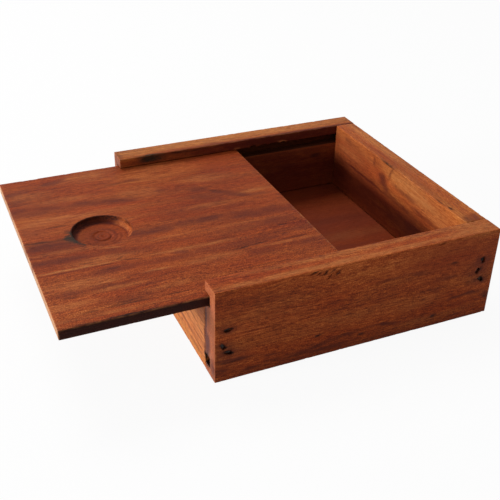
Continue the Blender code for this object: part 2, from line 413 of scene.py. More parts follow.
@dataclass(frozen=True)
class OiledWood:
    """An oiled hardwood finish, cut from one log position, with its own marks.

    The wood is a solid pattern, so a board's faces, edges and end grain belong together. Growth
    rings are shells round a pith line that runs along u, drawn out of true by slow drift. A level
    from 0, dark heartwood, to 1, gold, is read through a ramp of the wood's colours. Wear, which also
    stands for painted edge highlights, fades in between the distances from an edge in edge_reach, and
    a tint, on the narrow sides a stain and painted shade, between the distances from an end or side
    in end_reach, in millimetres, on faces turned to it by a cosine in end_facing.
    """

    name: str
    axes: Axes
    seed: float
    pith: tuple[float, float] = (60.0, 45.0)
    shades: tuple[Colour, ...] = (
        (0.080, 0.013, 0.008),
        (0.155, 0.025, 0.009),
        (0.250, 0.045, 0.011),
        (0.330, 0.075, 0.018),
        (0.430, 0.125, 0.034),
    )
    tone: float = 1.0
    warmth: float = 0.0
    hue: float = 0.55
    zones: float = 0.20
    bands: float = 0.30
    fibres: float = 0.16
    flecks: float = 0.12
    grit: float = 0.13
    grit_slope: float = 0.0
    ripple: float = 0.06
    wander: float = 2.2
    pores: float = 0.50
    # Pale worn edges, partly painted edge highlights on the arrises.
    edge_wear_and_highlight: float = 0.25
    end_tint: Colour = (0.440, 0.110, 0.036)
    end_share: float = 0.6
    # The narrow sides' dark colour: partly a stain, partly painted shade on sides turned from the lights.
    side_stain_and_shade: Colour = (0.026, 0.007, 0.006)
    side_stain_and_shade_share: float = 0.0
    gloss: float = 0.50
    mark_share: float = 1.0
    marks: tuple[Mark, ...] = ()
    arcs: tuple[Arc, ...] = ()
    grooves: tuple[Groove, ...] = ()
    # Colour and share of the grooves' dark inside: dirt and painted shade.
    groove_dirt_and_shade: Colour = (0.010, 0.003, 0.002)
    groove_dirt_and_shade_share: float = 0.95
    hue_shift: Triple = (0.05, 0.42, 0.40)
    sway: float = 0.45
    texture_gain: float = 1.1
    pore_colour: Colour = (0.040, 0.012, 0.008)
    # Colour of worn edges and dust, and of the painted edge highlights and glints.
    wear_dust_and_highlight_colour: Colour = (0.50, 0.205, 0.080)
    dust_and_glint_share: float = 0.35
    shine: float = 0.04
    relief_strength: float = 0.45
    relief_height: float = 0.00006
    fibre_rise: float = 0.25
    fleck_rise: float = 0.20
    wave_rise: float = 0.35
    pore_drop: float = 0.8
    crack_drop: float = 2.5
    grain_rough: float = 0.04
    pore_rough: float = 0.15
    worn_rough: float = 0.12
    edge_reach: tuple[float, float] = (0.70, 0.12)
    end_reach: tuple[float, float] = (1.2, 0.5)
    end_facing: tuple[float, float] = (0.62, 0.88)
    lively_gain: float = 1.7
    broken_loss: float = 0.85

    def material(self) -> bpy.types.Material:
        """Builds the finish as a material.

        The colour is the level's, shifted by slow noise, tinted on some faces and marked, and made
        darker or paler by the texture. Some tints and marks are painted shade and light. Pores, the
        grooves' dirt and painted shade, specks of dust and painted glints, and worn edges that are partly
        painted edge highlights come last. Roughness is the gloss with small shares of fibres, waves, pores
        and wear. The relief rises with fibres, flecks and waves, and falls at pores and cracks.

        Returns:
            The material.
        """
        graph = Graph(bpy.data.materials.new(self.name))
        grain = self._grain(graph)
        flow = self._flow(graph, grain)
        fibre = self._noise(graph, flow, Pattern.FIBRE)
        fleck = self._noise(graph, flow, Pattern.FLECK)
        grit = self._noise(graph, flow, Pattern.GRIT)
        if self.grit_slope:
            width = self.axes.size[1]
            across = graph.split(grain)[1]
            grit = grit * graph.smooth(across, 0.25 * width, width, self.grit_slope) + grit
        wave = self._noise(graph, flow, Pattern.WAVE)
        texture = fibre * self.fibres + fleck * self.flecks + wave * self.ripple + grit * self.grit
        colour = self._read(graph, self._level(graph, grain, flow) + texture)
        warm = self._noise(graph, flow, Pattern.WARMTH) * self.hue
        colour = colour * (warm * self.hue_shift + (1.0, 1.0, 1.0))
        colour = self._tinted_faces(graph, grain, colour, fibre, fleck)
        colour, sunk = self._with_marks(graph, grain, fibre, fleck, colour)
        colour = colour * (texture * self.texture_gain + 1.0)
        pore = self._cells(graph, flow, Dashes.PORES)
        colour = graph.mix(pore * self.pores, colour, self.pore_colour)
        # The grooves' insides darken with dirt and painted shade.
        for groove in self.grooves:
            colour = graph.mix(groove.shade_at(graph, grain) * self.groove_dirt_and_shade_share, colour, self.groove_dirt_and_shade)
        # Specks of dust and painted glints, and worn edges that are partly painted edge highlights, turn
        # pale.
        dust_and_glint = self._cells(graph, flow, Dashes.DUST_AND_GLINTS)
        edge = self._edge(graph, grain)
        worn_and_highlit = edge * graph.smooth(wave + fibre * 0.6, -0.5, 0.6) * self.edge_wear_and_highlight
        pale = graph.sum_up("MAXIMUM", worn_and_highlit, dust_and_glint * self.dust_and_glint_share)
        height = (fibre * self.fibre_rise + fleck * self.fleck_rise + wave * self.wave_rise
                  - pore * self.pore_drop - sunk * self.crack_drop)
        return graph.finish(graph.node("ShaderNodeBsdfPrincipled", inputs={
            "Base Color": graph.mix(pale, colour, self.wear_dust_and_highlight_colour),
            "Roughness": (fibre * self.grain_rough + wave * self.grain_rough + pore * self.pore_rough
                          + worn_and_highlit * self.worn_rough + self.gloss),
            "Specular IOR Level": self.shine,
            "Normal": graph.bump(height, self.relief_strength, self.relief_height),
        }))

    def _noise(self, graph: Graph, place: Wire, pattern: Pattern) -> Wire:
        """One of the wood's noises."""
        scale, shift, detail, rough = pattern.value
        return graph.noise(place, scale, self.seed + shift, detail, rough)

    def _grain(self, graph: Graph) -> Wire:
        """The shaded point in millimetres along u, v and w."""
        place = graph.node("ShaderNodeTexCoord", output="Object") - self.axes.corner
        axes = (self.axes.along, self.axes.across, self.axes.inward)
        return graph.join(*(graph.dot(place, tuple(part / MM for part in axis)) for axis in axes))

    def _flow(self, graph: Graph, grain: Wire) -> Wire:
        """The grain's coordinates with v and w bent by slow drift, so that streaks undulate."""
        slow = self._noise(graph, grain, Pattern.DRIFT) * self.wander
        bend = slow + self._noise(graph, grain, Pattern.SWAY) * self.sway
        return grain + graph.join(0.0, bend, bend * 0.6)

    def _level(self, graph: Graph, grain: Wire, flow: Wire) -> Wire:
        """The wood's level: broad zones, and growth bands by the distance from the pith line."""
        u, v, w = graph.split(flow)
        ring = graph.length(graph.join(0.0, v - self.pith[0], w - self.pith[1]))
        band = self._noise(graph, graph.join(ring, u * 0.06, w * 0.03), Pattern.BAND)
        return band * self.bands + self._noise(graph, grain, Pattern.ZONE) * self.zones + 0.5

    def _read(self, graph: Graph, level: Wire) -> Wire:
        """The wood's colour at a level."""
        last = len(self.shades) - 1
        gain = np.array((1.0, 1.0 + self.warmth, 1.0 + 0.8 * self.warmth)) * self.tone
        stops = tuple((number / last, tuple(float(part) for part in np.array(shade) * gain))
                      for number, shade in enumerate(self.shades))
        return graph.node("ShaderNodeValToRGB", {"stops": stops}, {0: level}, "Color")

    def _tinted_faces(self, graph: Graph, grain: Wire, colour: Wire, fibre: Wire, fleck: Wire) -> Wire:
        """Tints the end grain, and where side_stain_and_shade_share isn't 0 darkens the narrow sides, a
        stain and painted shade.

        A face takes the tint where it is turned to the board's end or side and lies there, so that
        the walls of a recess inside the board keep their own colour. The rings of the end grain
        slant across it.
        """
        facing = graph.node("ShaderNodeTexCoord", output="Normal")
        ragged = fibre * 0.12 + fleck * 0.10
        parts = graph.split(grain)
        slanted = graph.join(parts[0] * 0.2, parts[1] + parts[2] * 0.8, parts[2] - parts[1] * 0.8)
        pattern = self._noise(graph, slanted, Pattern.END_RINGS) * 0.55 + fleck * 0.20 + 0.90
        for number, axis, share, tint in ((0, self.axes.along, self.end_share, self.end_tint),
                                          (1, self.axes.across, self.side_stain_and_shade_share, self.side_stain_and_shade)):
            if share:
                half = self.axes.size[number] / 2
                turned = abs(graph.dot(facing, axis))
                starts, whole = (half - reach for reach in self.end_reach)
                near_end = graph.smooth(abs(parts[number] - half), starts, whole)
                factor = graph.smooth(turned + ragged, *self.end_facing, share) * near_end
                colour = graph.mix(factor * pattern if number == 0 else factor, colour, tint)
        return colour

    def _with_marks(self, graph: Graph, grain: Wire, fibre: Wire, fleck: Wire,
                    colour: Wire) -> tuple[Wire, Any]:
        """Lays the marks and arcs over the colour.

        Each mark is an ellipsoid whose strength falls off from its middle. Fibres and flecks make
        that strength more or less, so the mark is made of the grain that it lies in.

        Args:
            graph: The material.
            grain: The grain's coordinates.
            fibre: Noise of long fibres.
            fleck: Noise of short flecks.
            colour: The wood's colour.

        Returns:
            The new colour, and how far the cracks sink the surface, from 0 to 1.
        """
        slow = self._noise(graph, grain, Pattern.RAGGED)
        place = grain + graph.join(slow * 1.6, slow * 0.5 + fibre * 0.25, 0.0)
        lively = graph.smooth(fibre * 0.9 + fleck * 0.5 + slow * 0.6, -0.55, 0.55)
        sunk: Any = 0.0
        for tint in Tint:
            total: Any = 0.0
            same = sorted((mark for mark in self.marks if mark.tint is tint), key=lambda mark: mark.turn)
            for turn, group in groupby(same, key=lambda mark: mark.turn):
                turned = graph.node("ShaderNodeVectorRotate", {"rotation_type": "Z_AXIS"},
                                    {"Vector": place, "Angle": -math.radians(turn)}) if turn else place
                for mark in group:
                    total = graph.sum_up("MAXIMUM", total, self._strength(graph, turned, mark))
            for arc in (arc for arc in self.arcs if arc.tint is tint):
                total = graph.sum_up("MAXIMUM", total, arc.strength_at(graph, grain, lively))
            if isinstance(total, Wire):
                share = self.mark_share
                moving, steady = self.lively_gain * tint.broken, 1.0 - self.broken_loss * tint.broken
                mask = total * (lively * (moving * share) + steady * share)
                colour = graph.mix(mask, colour, tint.colour)
                sunk = mask + sunk if tint is Tint.CRACK else sunk
        return colour, sunk

    @staticmethod
    def _strength(graph: Graph, turned: Wire, mark: Mark) -> Wire:
        """A mark's strength at a place turned as the mark is: whole at its core, 0 past its reach."""
        angle = math.radians(mark.turn)
        along = mark.along * math.cos(angle) + mark.across * math.sin(angle)
        across = mark.across * math.cos(angle) - mark.along * math.sin(angle)
        unit = graph.sum_up("MULTIPLY_ADD", turned, (1 / mark.long, 1 / mark.wide, 1 / mark.deep),
                            (-along / mark.long, -across / mark.wide, -mark.inside / mark.deep))
        return graph.smooth(graph.length(unit), MARK_REACH, MARK_CORE, mark.strength)

    def _cells(self, graph: Graph, flow: Wire, dashes: Dashes) -> Wire:
        """Scattered dashes along the bent grain: 1 on the dashes and 0 elsewhere."""
        scale, reach, pick = dashes.value
        stretched = graph.sum_up("MULTIPLY_ADD", flow, scale, (self.seed, 0.0, 0.0))
        cells = graph.node("ShaderNodeTexVoronoi", {"voronoi_dimensions": "3D"},
                           {"Vector": stretched, "Scale": 1.0, "Randomness": 1.0}, "Distance")
        chance = graph.split(Wire(graph, cells.socket.node.outputs["Color"]))[0]
        return graph.smooth(cells, *reach) * graph.smooth(chance, *pick)

    def _edge(self, graph: Graph, grain: Wire) -> Wire:
        """1 along the board's edges: the second smallest of the distances to its faces is near 0."""
        near = [length / 2 - abs(part - length / 2)
                for part, length in zip(graph.split(grain), self.axes.size)]
        low = graph.sum_up("MINIMUM", near[0], near[1])
        high = graph.sum_up("MAXIMUM", near[0], near[1])
        second = graph.sum_up("MAXIMUM", low, graph.sum_up("MINIMUM", high, near[2]))
        return graph.smooth(second, *self.edge_reach)


@dataclass(frozen=True)
class DarkSteel:
    """Nail steel gone dark under the oil, with rust in patches."""

    name: str = "nail_steel"
    steel: Colour = (0.017, 0.011, 0.009)
    rust: Colour = (0.034, 0.011, 0.006)
    patches_per_mm: float = 1.4
    grit_per_mm: float = 6.0
    roughness: float = 0.60
    rust_roughness: float = 0.2
    metallic: float = 0.35
    relief_height: float = 0.00005

    def material(self) -> bpy.types.Material:
        """Builds the finish as a material: steel and rust, mixed by noise."""
        graph = Graph(bpy.data.materials.new(self.name))
        place = graph.node("ShaderNodeTexCoord", output="Object") * (1 / MM)
        patches = graph.noise(place, (self.patches_per_mm,) * 3, 2.0, 3.0, 0.6)
        grit = graph.noise(place, (self.grit_per_mm,) * 3, 5.0, 2.0, 0.5)
        rusty = graph.smooth(patches + grit * 0.4, -0.1, 0.4)
        return graph.finish(graph.node("ShaderNodeBsdfPrincipled", inputs={
            "Base Color": graph.mix(rusty, self.steel, self.rust),
            "Roughness": rusty * self.rust_roughness + self.roughness,
            "Metallic": (1.0 - rusty) * self.metallic,
            "Normal": graph.bump(grit + rusty, 0.5, self.relief_height),
        }))


@dataclass(frozen=True)
class Corner:
    """A corner of a board's section, in metres, and the radius that it is rounded to."""

    x: float
    z: float
    radius: float = 0.0


@dataclass
class Section:
    """A board's section as closed arrays, anticlockwise.

    A point that is drawn in by d lies at site - (d + k) * bend + k * outward, where k is what is
    left of the corner's radius. On a straight edge bend is the edge's normal and the radius 0.
    edge gives the number of the straight edge that each point lies on, or -1 on a corner.
    """

    site: np.ndarray
    bend: np.ndarray
    outward: np.ndarray
    radius: np.ndarray
    edge: np.ndarray

    @classmethod
    def rounded(cls, corners: Sequence[Corner], spacing: float,
                stops: Mapping[int, np.ndarray] | None = None, steps: int = 5) -> "Section":
        """Joins right-angled corners by straight edges and rounds them to quarter circles.

        Args:
            corners: The corners, anticlockwise. One with no radius stays sharp.
            spacing: Distance between points on the straight edges.
            stops: For some edges, the distances from the edge's first corner to put points at.
            steps: Points on each quarter circle past the first.

        Returns:
            The section.
        """
        parts: list[tuple[np.ndarray, ...]] = []
        sites = np.array([(corner.x, corner.z) for corner in corners])
        for number, corner in enumerate(corners):
            here, after = sites[number], sites[(number + 1) % len(corners)]
            incoming = (here - sites[number - 1]) / np.linalg.norm(here - sites[number - 1])
            length = np.linalg.norm(after - here)
            outgoing = (after - here) / length
            normal_in = np.array((incoming[1], -incoming[0]))
            normal_out = np.array((outgoing[1], -outgoing[0]))
            turn = np.linspace(0.0, math.pi / 2, steps + 1 if corner.radius > 0 else 1)[:, None]
            fan = np.cos(turn) * normal_in + np.sin(turn) * normal_out
            parts.append(cls._part(here[None], normal_in + normal_out, fan, corner.radius, -1))
            start, end = corner.radius, length - corners[(number + 1) % len(corners)].radius
            if stops and number in stops:
                places = np.asarray(stops[number])
            else:
                places = np.linspace(start, end, max(2, math.ceil((end - start) / spacing)) + 1)[1:-1]
            line = here + outgoing * places[:, None]
            parts.append(cls._part(line, normal_out, np.broadcast_to(normal_out, line.shape), 0.0, number))
        return cls(*(np.concatenate(part) for part in zip(*parts)))

    @staticmethod
    def _part(site: np.ndarray, bend: np.ndarray, outward: np.ndarray, radius: float,
              edge: int) -> tuple[np.ndarray, ...]:
        """The arrays of one corner or one straight edge."""
        count = len(outward)
        return (np.broadcast_to(site, (count, 2)), np.broadcast_to(bend, (count, 2)), outward,
                np.full(count, radius), np.full(count, edge))

    def drawn_in(self, depth: np.ndarray) -> np.ndarray:
        """The section's points, drawn in by a depth for each station and point."""
        left = np.maximum(self.radius - depth, np.minimum(self.radius, KEPT_RADIUS))[..., None]
        return self.site - (depth[..., None] + left) * self.bend + left * self.outward


def stations(low: float, high: float, ease: float, inner: np.ndarray,
             steps: int = 4) -> tuple[np.ndarray, np.ndarray]:
    """Places along a board, with quarter-round ends.

    Near each end a station at angle a of the quarter circle lies ease*(1 - cos a) in from the
    end, and there the section is drawn in by ease*(1 - sin a).

    Args:
        low: The board's low end.
        high: Its high end.
        ease: The ends' radius.
        inner: Places of the stations between the rounded ends.
        steps: Stations on each quarter circle past the first.

    Returns:
        The stations' places, and how far the section is drawn in at each.
    """
    angle = np.linspace(0.0, math.pi / 2, steps + 1)
    depth = ease * (1 - np.cos(angle))
    drawn_in = ease * (1 - np.sin(angle))
    places = np.concatenate((low + depth, inner, high - depth[::-1]))
    return places, np.concatenate((drawn_in, np.zeros(len(inner)), drawn_in[::-1]))


def even(low: float, high: float, spacing: float) -> np.ndarray:
    """Even places strictly between two ends, at most spacing apart."""
    return np.linspace(low, high, max(2, math.ceil((high - low) / spacing)) + 1)[1:-1]


def ripples(seed: int, a: np.ndarray, b: np.ndarray, shortest: float, longest: float, count: int = 28,
            stretch: float = 1.0) -> np.ndarray:
    """Smooth random relief: a sum of cosines of random direction, length and phase.

    Args:
        seed: Of the random draws.
        a: One coordinate of the points.
        b: The other coordinate.
        shortest: The shortest wave.
        longest: The longest wave.
        count: Number of cosines.
        stretch: How much longer the waves are along a than along b.

    Returns:
        Relief with a standard deviation of about 1.
    """
    draw = np.random.default_rng(seed)
    wave = 2 * math.pi / np.exp(draw.uniform(math.log(shortest), math.log(longest), count))
    angle = draw.uniform(0, math.pi, count)
    phase = draw.uniform(0, 2 * math.pi, count)
    total = np.zeros(np.broadcast(a, b).shape)
    for k, theta, start in zip(wave, angle, phase):
        total += np.cos(k * (a * math.cos(theta) / stretch + b * math.sin(theta)) + start)
    return total * math.sqrt(2 / count)


def closed_mesh(name: str, skins: Sequence[np.ndarray]) -> bpy.types.Mesh:
    """Joins rings of points to closed skins with flat ends, facing out.

    Args:
        name: The mesh's name.
        skins: For each skin its points, as rings by points round the ring by 3.

    Returns:
        The mesh that holds every skin, shaded smooth with its sharp edges marked.
    """
    corners, faces, first = [], [], 0
    for grid in skins:
        index = first + np.arange(grid.shape[0] * grid.shape[1]).reshape(grid.shape[:2])
        after = np.roll(index, -1, axis=1)
        quads = np.stack((index[:-1], after[:-1], after[1:], index[1:]), axis=-1).reshape(-1, 4)
        skin = [*quads.tolist(), index[0][::-1].tolist(), index[-1].tolist()]
        points = grid.reshape(-1, 3)
        one, two, three = (points[quads[:, number] - first] - points.mean(axis=0) for number in (0, 1, 2))
        if np.einsum("ij,ij->", one, np.cross(two, three)) < 0:
            skin = [face[::-1] for face in skin]
        corners.append(points)
        faces += skin
        first += len(points)
    mesh = bpy.data.meshes.new(name)
    mesh.from_pydata(np.concatenate(corners).tolist(), [], faces)
    mesh.shade_smooth()
    mesh.set_sharp_from_angle(angle=SHARP_ANGLE)
    return mesh


def carve(piece: bpy.types.Object, cutters: Sequence[np.ndarray]) -> None:
    """Cuts closed skins out of a piece and leaves it one plain mesh.

    Args:
        piece: The piece, linked to the scene.
        cutters: The skins, as closed_mesh takes them.
    """
    tool = bpy.data.objects.new("carving", closed_mesh("carving", cutters))
    bpy.context.collection.objects.link(tool)
    modifier = piece.modifiers.new("carving", "BOOLEAN")
    modifier.solver = "EXACT"
    modifier.object = tool
    evaluated = piece.evaluated_get(bpy.context.evaluated_depsgraph_get())
    carved = bpy.data.meshes.new_from_object(evaluated)
    carved.name = piece.data.name
    carved.shade_smooth()
    carved.set_sharp_from_angle(angle=SHARP_ANGLE)
    piece.modifiers.clear()
    piece.data = carved
    bpy.data.objects.remove(tool)


@dataclass(frozen=True)
class Gouge:
    """A small ragged hollow in a board's face: a driven nail's pocket, or a chip torn out.

    turns are the waves that each cosine of its waver has round it, waver the least and greatest
    of their heights, and last_phase the end of the range that their phases are drawn from.
    """

    centre: Triple
    outward: Triple
    lengthwise: Triple
    long: float
    wide: float
    deep: float
    seed: int
    rings: tuple[tuple[float, float], ...] = ((1.0, 1.08), (0.0, 1.02), (-0.35, 0.90), (-1.0, 0.72))
    points: int = 24
    waver: tuple[float, float] = (0.02, 0.09)
    turns: tuple[int, ...] = (2, 3, 5, 7)
    last_phase: float = 6.3

    def skin(self) -> np.ndarray:
        """The hollow's cutter.

        Rings run from above the face down to the hollow's bottom, at heights in depths and of
        sizes that the rings field gives. A ring is an ellipse, squared off a little, whose radius
        wavers by a few cosines of the angle round it.
        """
        outward, lengthwise = np.array(self.outward), np.array(self.lengthwise)
        sideways = np.cross(outward, lengthwise)
        angle = np.linspace(0.0, 2 * math.pi, self.points, endpoint=False)
        draw = np.random.default_rng(self.seed)
        waver = sum(draw.uniform(*self.waver) * np.cos(angle * turns + draw.uniform(0, self.last_phase))
                    for turns in self.turns)
        squared = (np.cos(angle) ** 4 + np.sin(angle) ** 4) ** -0.25
        reach = (squared * (1.0 + waver))[:, None]
        ellipse = (np.cos(angle)[:, None] * lengthwise * self.long
                   + np.sin(angle)[:, None] * sideways * self.wide)
        centre = np.array(self.centre)
        return np.stack([centre + outward * (height * self.deep) + size * reach * ellipse
                         for height, size in self.rings])


@dataclass
class Board:
    """A board of the box: a section carried along one axis, with eased ends and worn edges.

    slow_waves and nick_waves are the shortest and longest waves of the faces' unevenness and of
    the nicks along the rounded edges. A nick starts where its relief passes nick_start, and is as
    deep as it gets where the relief is nick_limit past that.
    """

    node: str
    body: str
    finish: OiledWood
    ease: float = 0.0005
    end_ease: float = 0.00022
    spacing: float = 0.0011
    unevenness: float = 0.00003
    nicks: float = 0.00008
    slow_waves: tuple[float, float] = (0.012, 0.05)
    nick_waves: tuple[float, float] = (0.0015, 0.009)
    slow_stretch: float = 2.5
    slow_swing: float = 0.6
    nick_count: int = 48
    nick_start: float = 0.7
    nick_limit: float = 1.6
    relief_seed: int = 1
    gouges: tuple[Gouge, ...] = ()
    low: Vector = field(init=False)
    high: Vector = field(init=False)

    def __post_init__(self) -> None:
        """Reads the board's box from the frame."""
        self.low, self.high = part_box(self.node)

    @property
    def slot(self) -> str:
        """The record's material slot of the board's node."""
        parts = frame["record"]["subparts"]
        return next(part["material_slot"] for part in parts if part["node"] == self.node)

    def section(self) -> Section:
        """The board's section; a plain rectangle across the box by default."""
        return Section.rounded(self.slab(), self.spacing)

    def slab(self) -> list[Corner]:
        """The corners of a plain rectangle across the box."""
        low, high = self.low, self.high
        sites = ((low.x, low.z), (high.x, low.z), (high.x, high.z), (low.x, high.z))
        return [Corner(x, z, self.ease) for x, z in sites]

    def span(self) -> tuple[np.ndarray, np.ndarray]:
        """The stations' places along Y, and how far the section is drawn in at each."""
        inner = even(self.low.y + self.end_ease, self.high.y - self.end_ease, self.spacing)
        return stations(self.low.y, self.high.y, self.end_ease, inner)

    def place(self, section: np.ndarray, along: np.ndarray) -> np.ndarray:
        """Points in the frame: the section's x and z, with places along Y."""
        x, z = section[..., 0], section[..., 1]
        return np.stack((x, np.broadcast_to(along, x.shape), z), axis=-1)

    def reshape(self, grid: np.ndarray, section: Section, along: np.ndarray) -> np.ndarray:
        """A board's own changes to its grid of points; none by default."""
        return grid

    def build(self) -> bpy.types.Object:
        """Makes the board as a piece that stands for its node.

        A point of the section moves in by the end's rounding, by a slow unevenness of the face
        and, on rounded corners, by nicks where short relief is high.

        Returns:
            The piece.
        """
        section = self.section()
        along, drawn_in = self.span()
        steps = np.linalg.norm(np.diff(section.site, axis=0), axis=1)
        around = np.concatenate(([0.0], np.cumsum(steps)))
        places = along[:, None], around[None, :]
        slow = ripples(self.relief_seed, *places, *self.slow_waves, stretch=self.slow_stretch)
        short = ripples(self.relief_seed + 100, *places, *self.nick_waves, count=self.nick_count)
        sunk = self.unevenness * np.clip(1.0 + self.slow_swing * slow, 0.0, 2.0)
        worn_and_highlit = np.clip(short - self.nick_start, 0.0, self.nick_limit)
        sunk = sunk + self.nicks * (section.radius > 0) * worn_and_highlit
        grid = self.place(section.drawn_in(drawn_in[:, None] + sunk), along[:, None])
        grid = self.reshape(grid, section, along)
        name = f"{self.node}_wood"
        piece = bpy.data.objects.new(name, closed_mesh(name, [grid]))
        bpy.context.collection.objects.link(piece)
        if self.gouges:
            carve(piece, [gouge.skin() for gouge in self.gouges])
        piece.data.materials.clear()
        piece.data.materials.append(self.finish.material())
        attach(piece, self.body)
        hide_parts(self.node)
        return piece


@dataclass(frozen=True)
class Joinery:
    """Sizes that the boards share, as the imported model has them."""

    lip: float = 0.0045
    lid_play: float = 0.0003
    lid_thickness: float = 0.0042
    lid_groove_depth: float = 0.0047
    panel_rise: float = 0.0039
    panel_groove_height: float = 0.0042
    panel_groove_depth: float = 0.0045
    seam: float = 0.0003
    tight_seam: float = 0.00010

    @property
    def lid_groove_height(self) -> float:
        """Height of the groove that the lid slides in."""
        return self.lid_thickness + 2 * self.lid_play


JOINERY = Joinery()


@dataclass
class SideWall(Board):
    """A side wall with its lid groove and panel groove; side is 1 at +X and -1 at -X.

    chipped is the stretch along Y where the lip is torn, and chip_fade the length over which that
    starts and ends. chip_limit is the most relief that counts, in chip_depths.
    """

    side: int = 1
    chipped: tuple[float, float] = (0.0, 0.0)
    chip_depth: float = 0.0006
    chip_reach: float = 0.0016
    chip_waves: tuple[float, float] = (0.002, 0.009)
    chip_fade: float = 0.004
    chip_limit: float = 1.6

    def section(self) -> Section:
        """The wall's section, drawn at +X and mirrored for the wall at -X."""
        inner, outer = sorted((abs(self.low.x), abs(self.high.x)))
        bottom, top = self.low.z, self.high.z
        lid_top = top - JOINERY.lip
        lid_floor = lid_top - JOINERY.lid_groove_height
        lid_back = inner + JOINERY.lid_groove_depth
        panel_floor = bottom + JOINERY.panel_rise
        panel_top = panel_floor + JOINERY.panel_groove_height
        panel_back = inner + JOINERY.panel_groove_depth
        soft, crisp = self.ease, self.ease * 0.5
        corners = (
            (inner, bottom, crisp), (outer, bottom, soft), (outer, top, soft), (inner, top, crisp),
            (inner, lid_top, crisp), (lid_back, lid_top), (lid_back, lid_floor), (inner, lid_floor, crisp),
            (inner, panel_top, crisp), (panel_back, panel_top), (panel_back, panel_floor),
            (inner, panel_floor, crisp),
        )
        return Section.rounded([Corner(*corner) for corner in corners], self.spacing)

    def place(self, section: np.ndarray, along: np.ndarray) -> np.ndarray:
        """The section's x and z on the wall's side, with places along Y."""
        return super().place(section * (self.side, 1), along)

    def reshape(self, grid: np.ndarray, section: Section, along: np.ndarray) -> np.ndarray:
        """Tears chips out of the lip's lower edge, between the two places along Y.

        A point within reach of that edge rises by the chip's depth there, less with its distance.
        """
        low, high = self.chipped
        if high <= low:
            return grid
        edge_x = min(abs(self.low.x), abs(self.high.x))
        edge_z = self.high.z - JOINERY.lip
        away = np.hypot(section.site[:, 0] - edge_x, section.site[:, 1] - edge_z)
        near = np.clip(1.0 - away / self.chip_reach, 0.0, 1.0)
        relief = ripples(self.relief_seed + 7, along, along * 0, *self.chip_waves)
        torn = np.clip(relief, 0.0, self.chip_limit)
        starts, ends = (np.clip(part / self.chip_fade, 0, 1) for part in (along - low, high - along))
        grid[..., 2] += self.chip_depth * (torn * (starts * ends))[:, None] * near[None, :]
        return grid


@dataclass
class EndWall(Board):
    """A wall between the side walls, with the panel groove in its inner face.

    inward is 1 where that face lies towards +Y and -1 where it lies towards -Y.
    """

    end_ease: float = 0.0001
    inward: int = 1

    def section(self) -> Section:
        """The wall's section in depth from its outer face and height."""
        thickness = self.high.y - self.low.y
        groove = thickness - JOINERY.panel_groove_depth
        floor = self.low.z + JOINERY.panel_rise
        ceiling = floor + JOINERY.panel_groove_height
        soft, crisp = self.ease, self.ease * 0.5
        corners = (
            (0.0, self.low.z, soft), (thickness, self.low.z, crisp), (thickness, floor, crisp),
            (groove, floor), (groove, ceiling), (thickness, ceiling, crisp),
            (thickness, self.high.z, soft), (0.0, self.high.z, soft),
        )
        return Section.rounded([Corner(*corner) for corner in corners], self.spacing)

    def span(self) -> tuple[np.ndarray, np.ndarray]:
        """Stations along X, out to a tight joint with the side walls."""
        reach = self.high.x + JOINERY.seam - JOINERY.tight_seam
        inner = even(-reach + self.end_ease, reach - self.end_ease, self.spacing)
        return stations(-reach, reach, self.end_ease, inner, 2)

    def place(self, section: np.ndarray, along: np.ndarray) -> np.ndarray:
        """Places along X, with the section's depth and height."""
        outer = self.low.y if self.inward > 0 else self.high.y
        y, z = outer + section[..., 0] * self.inward, section[..., 1]
        return np.stack((np.broadcast_to(along, y.shape), y, z), axis=-1)


@dataclass
class BottomPanel(Board):
    """The thin panel that floats in the grooves of all four walls."""


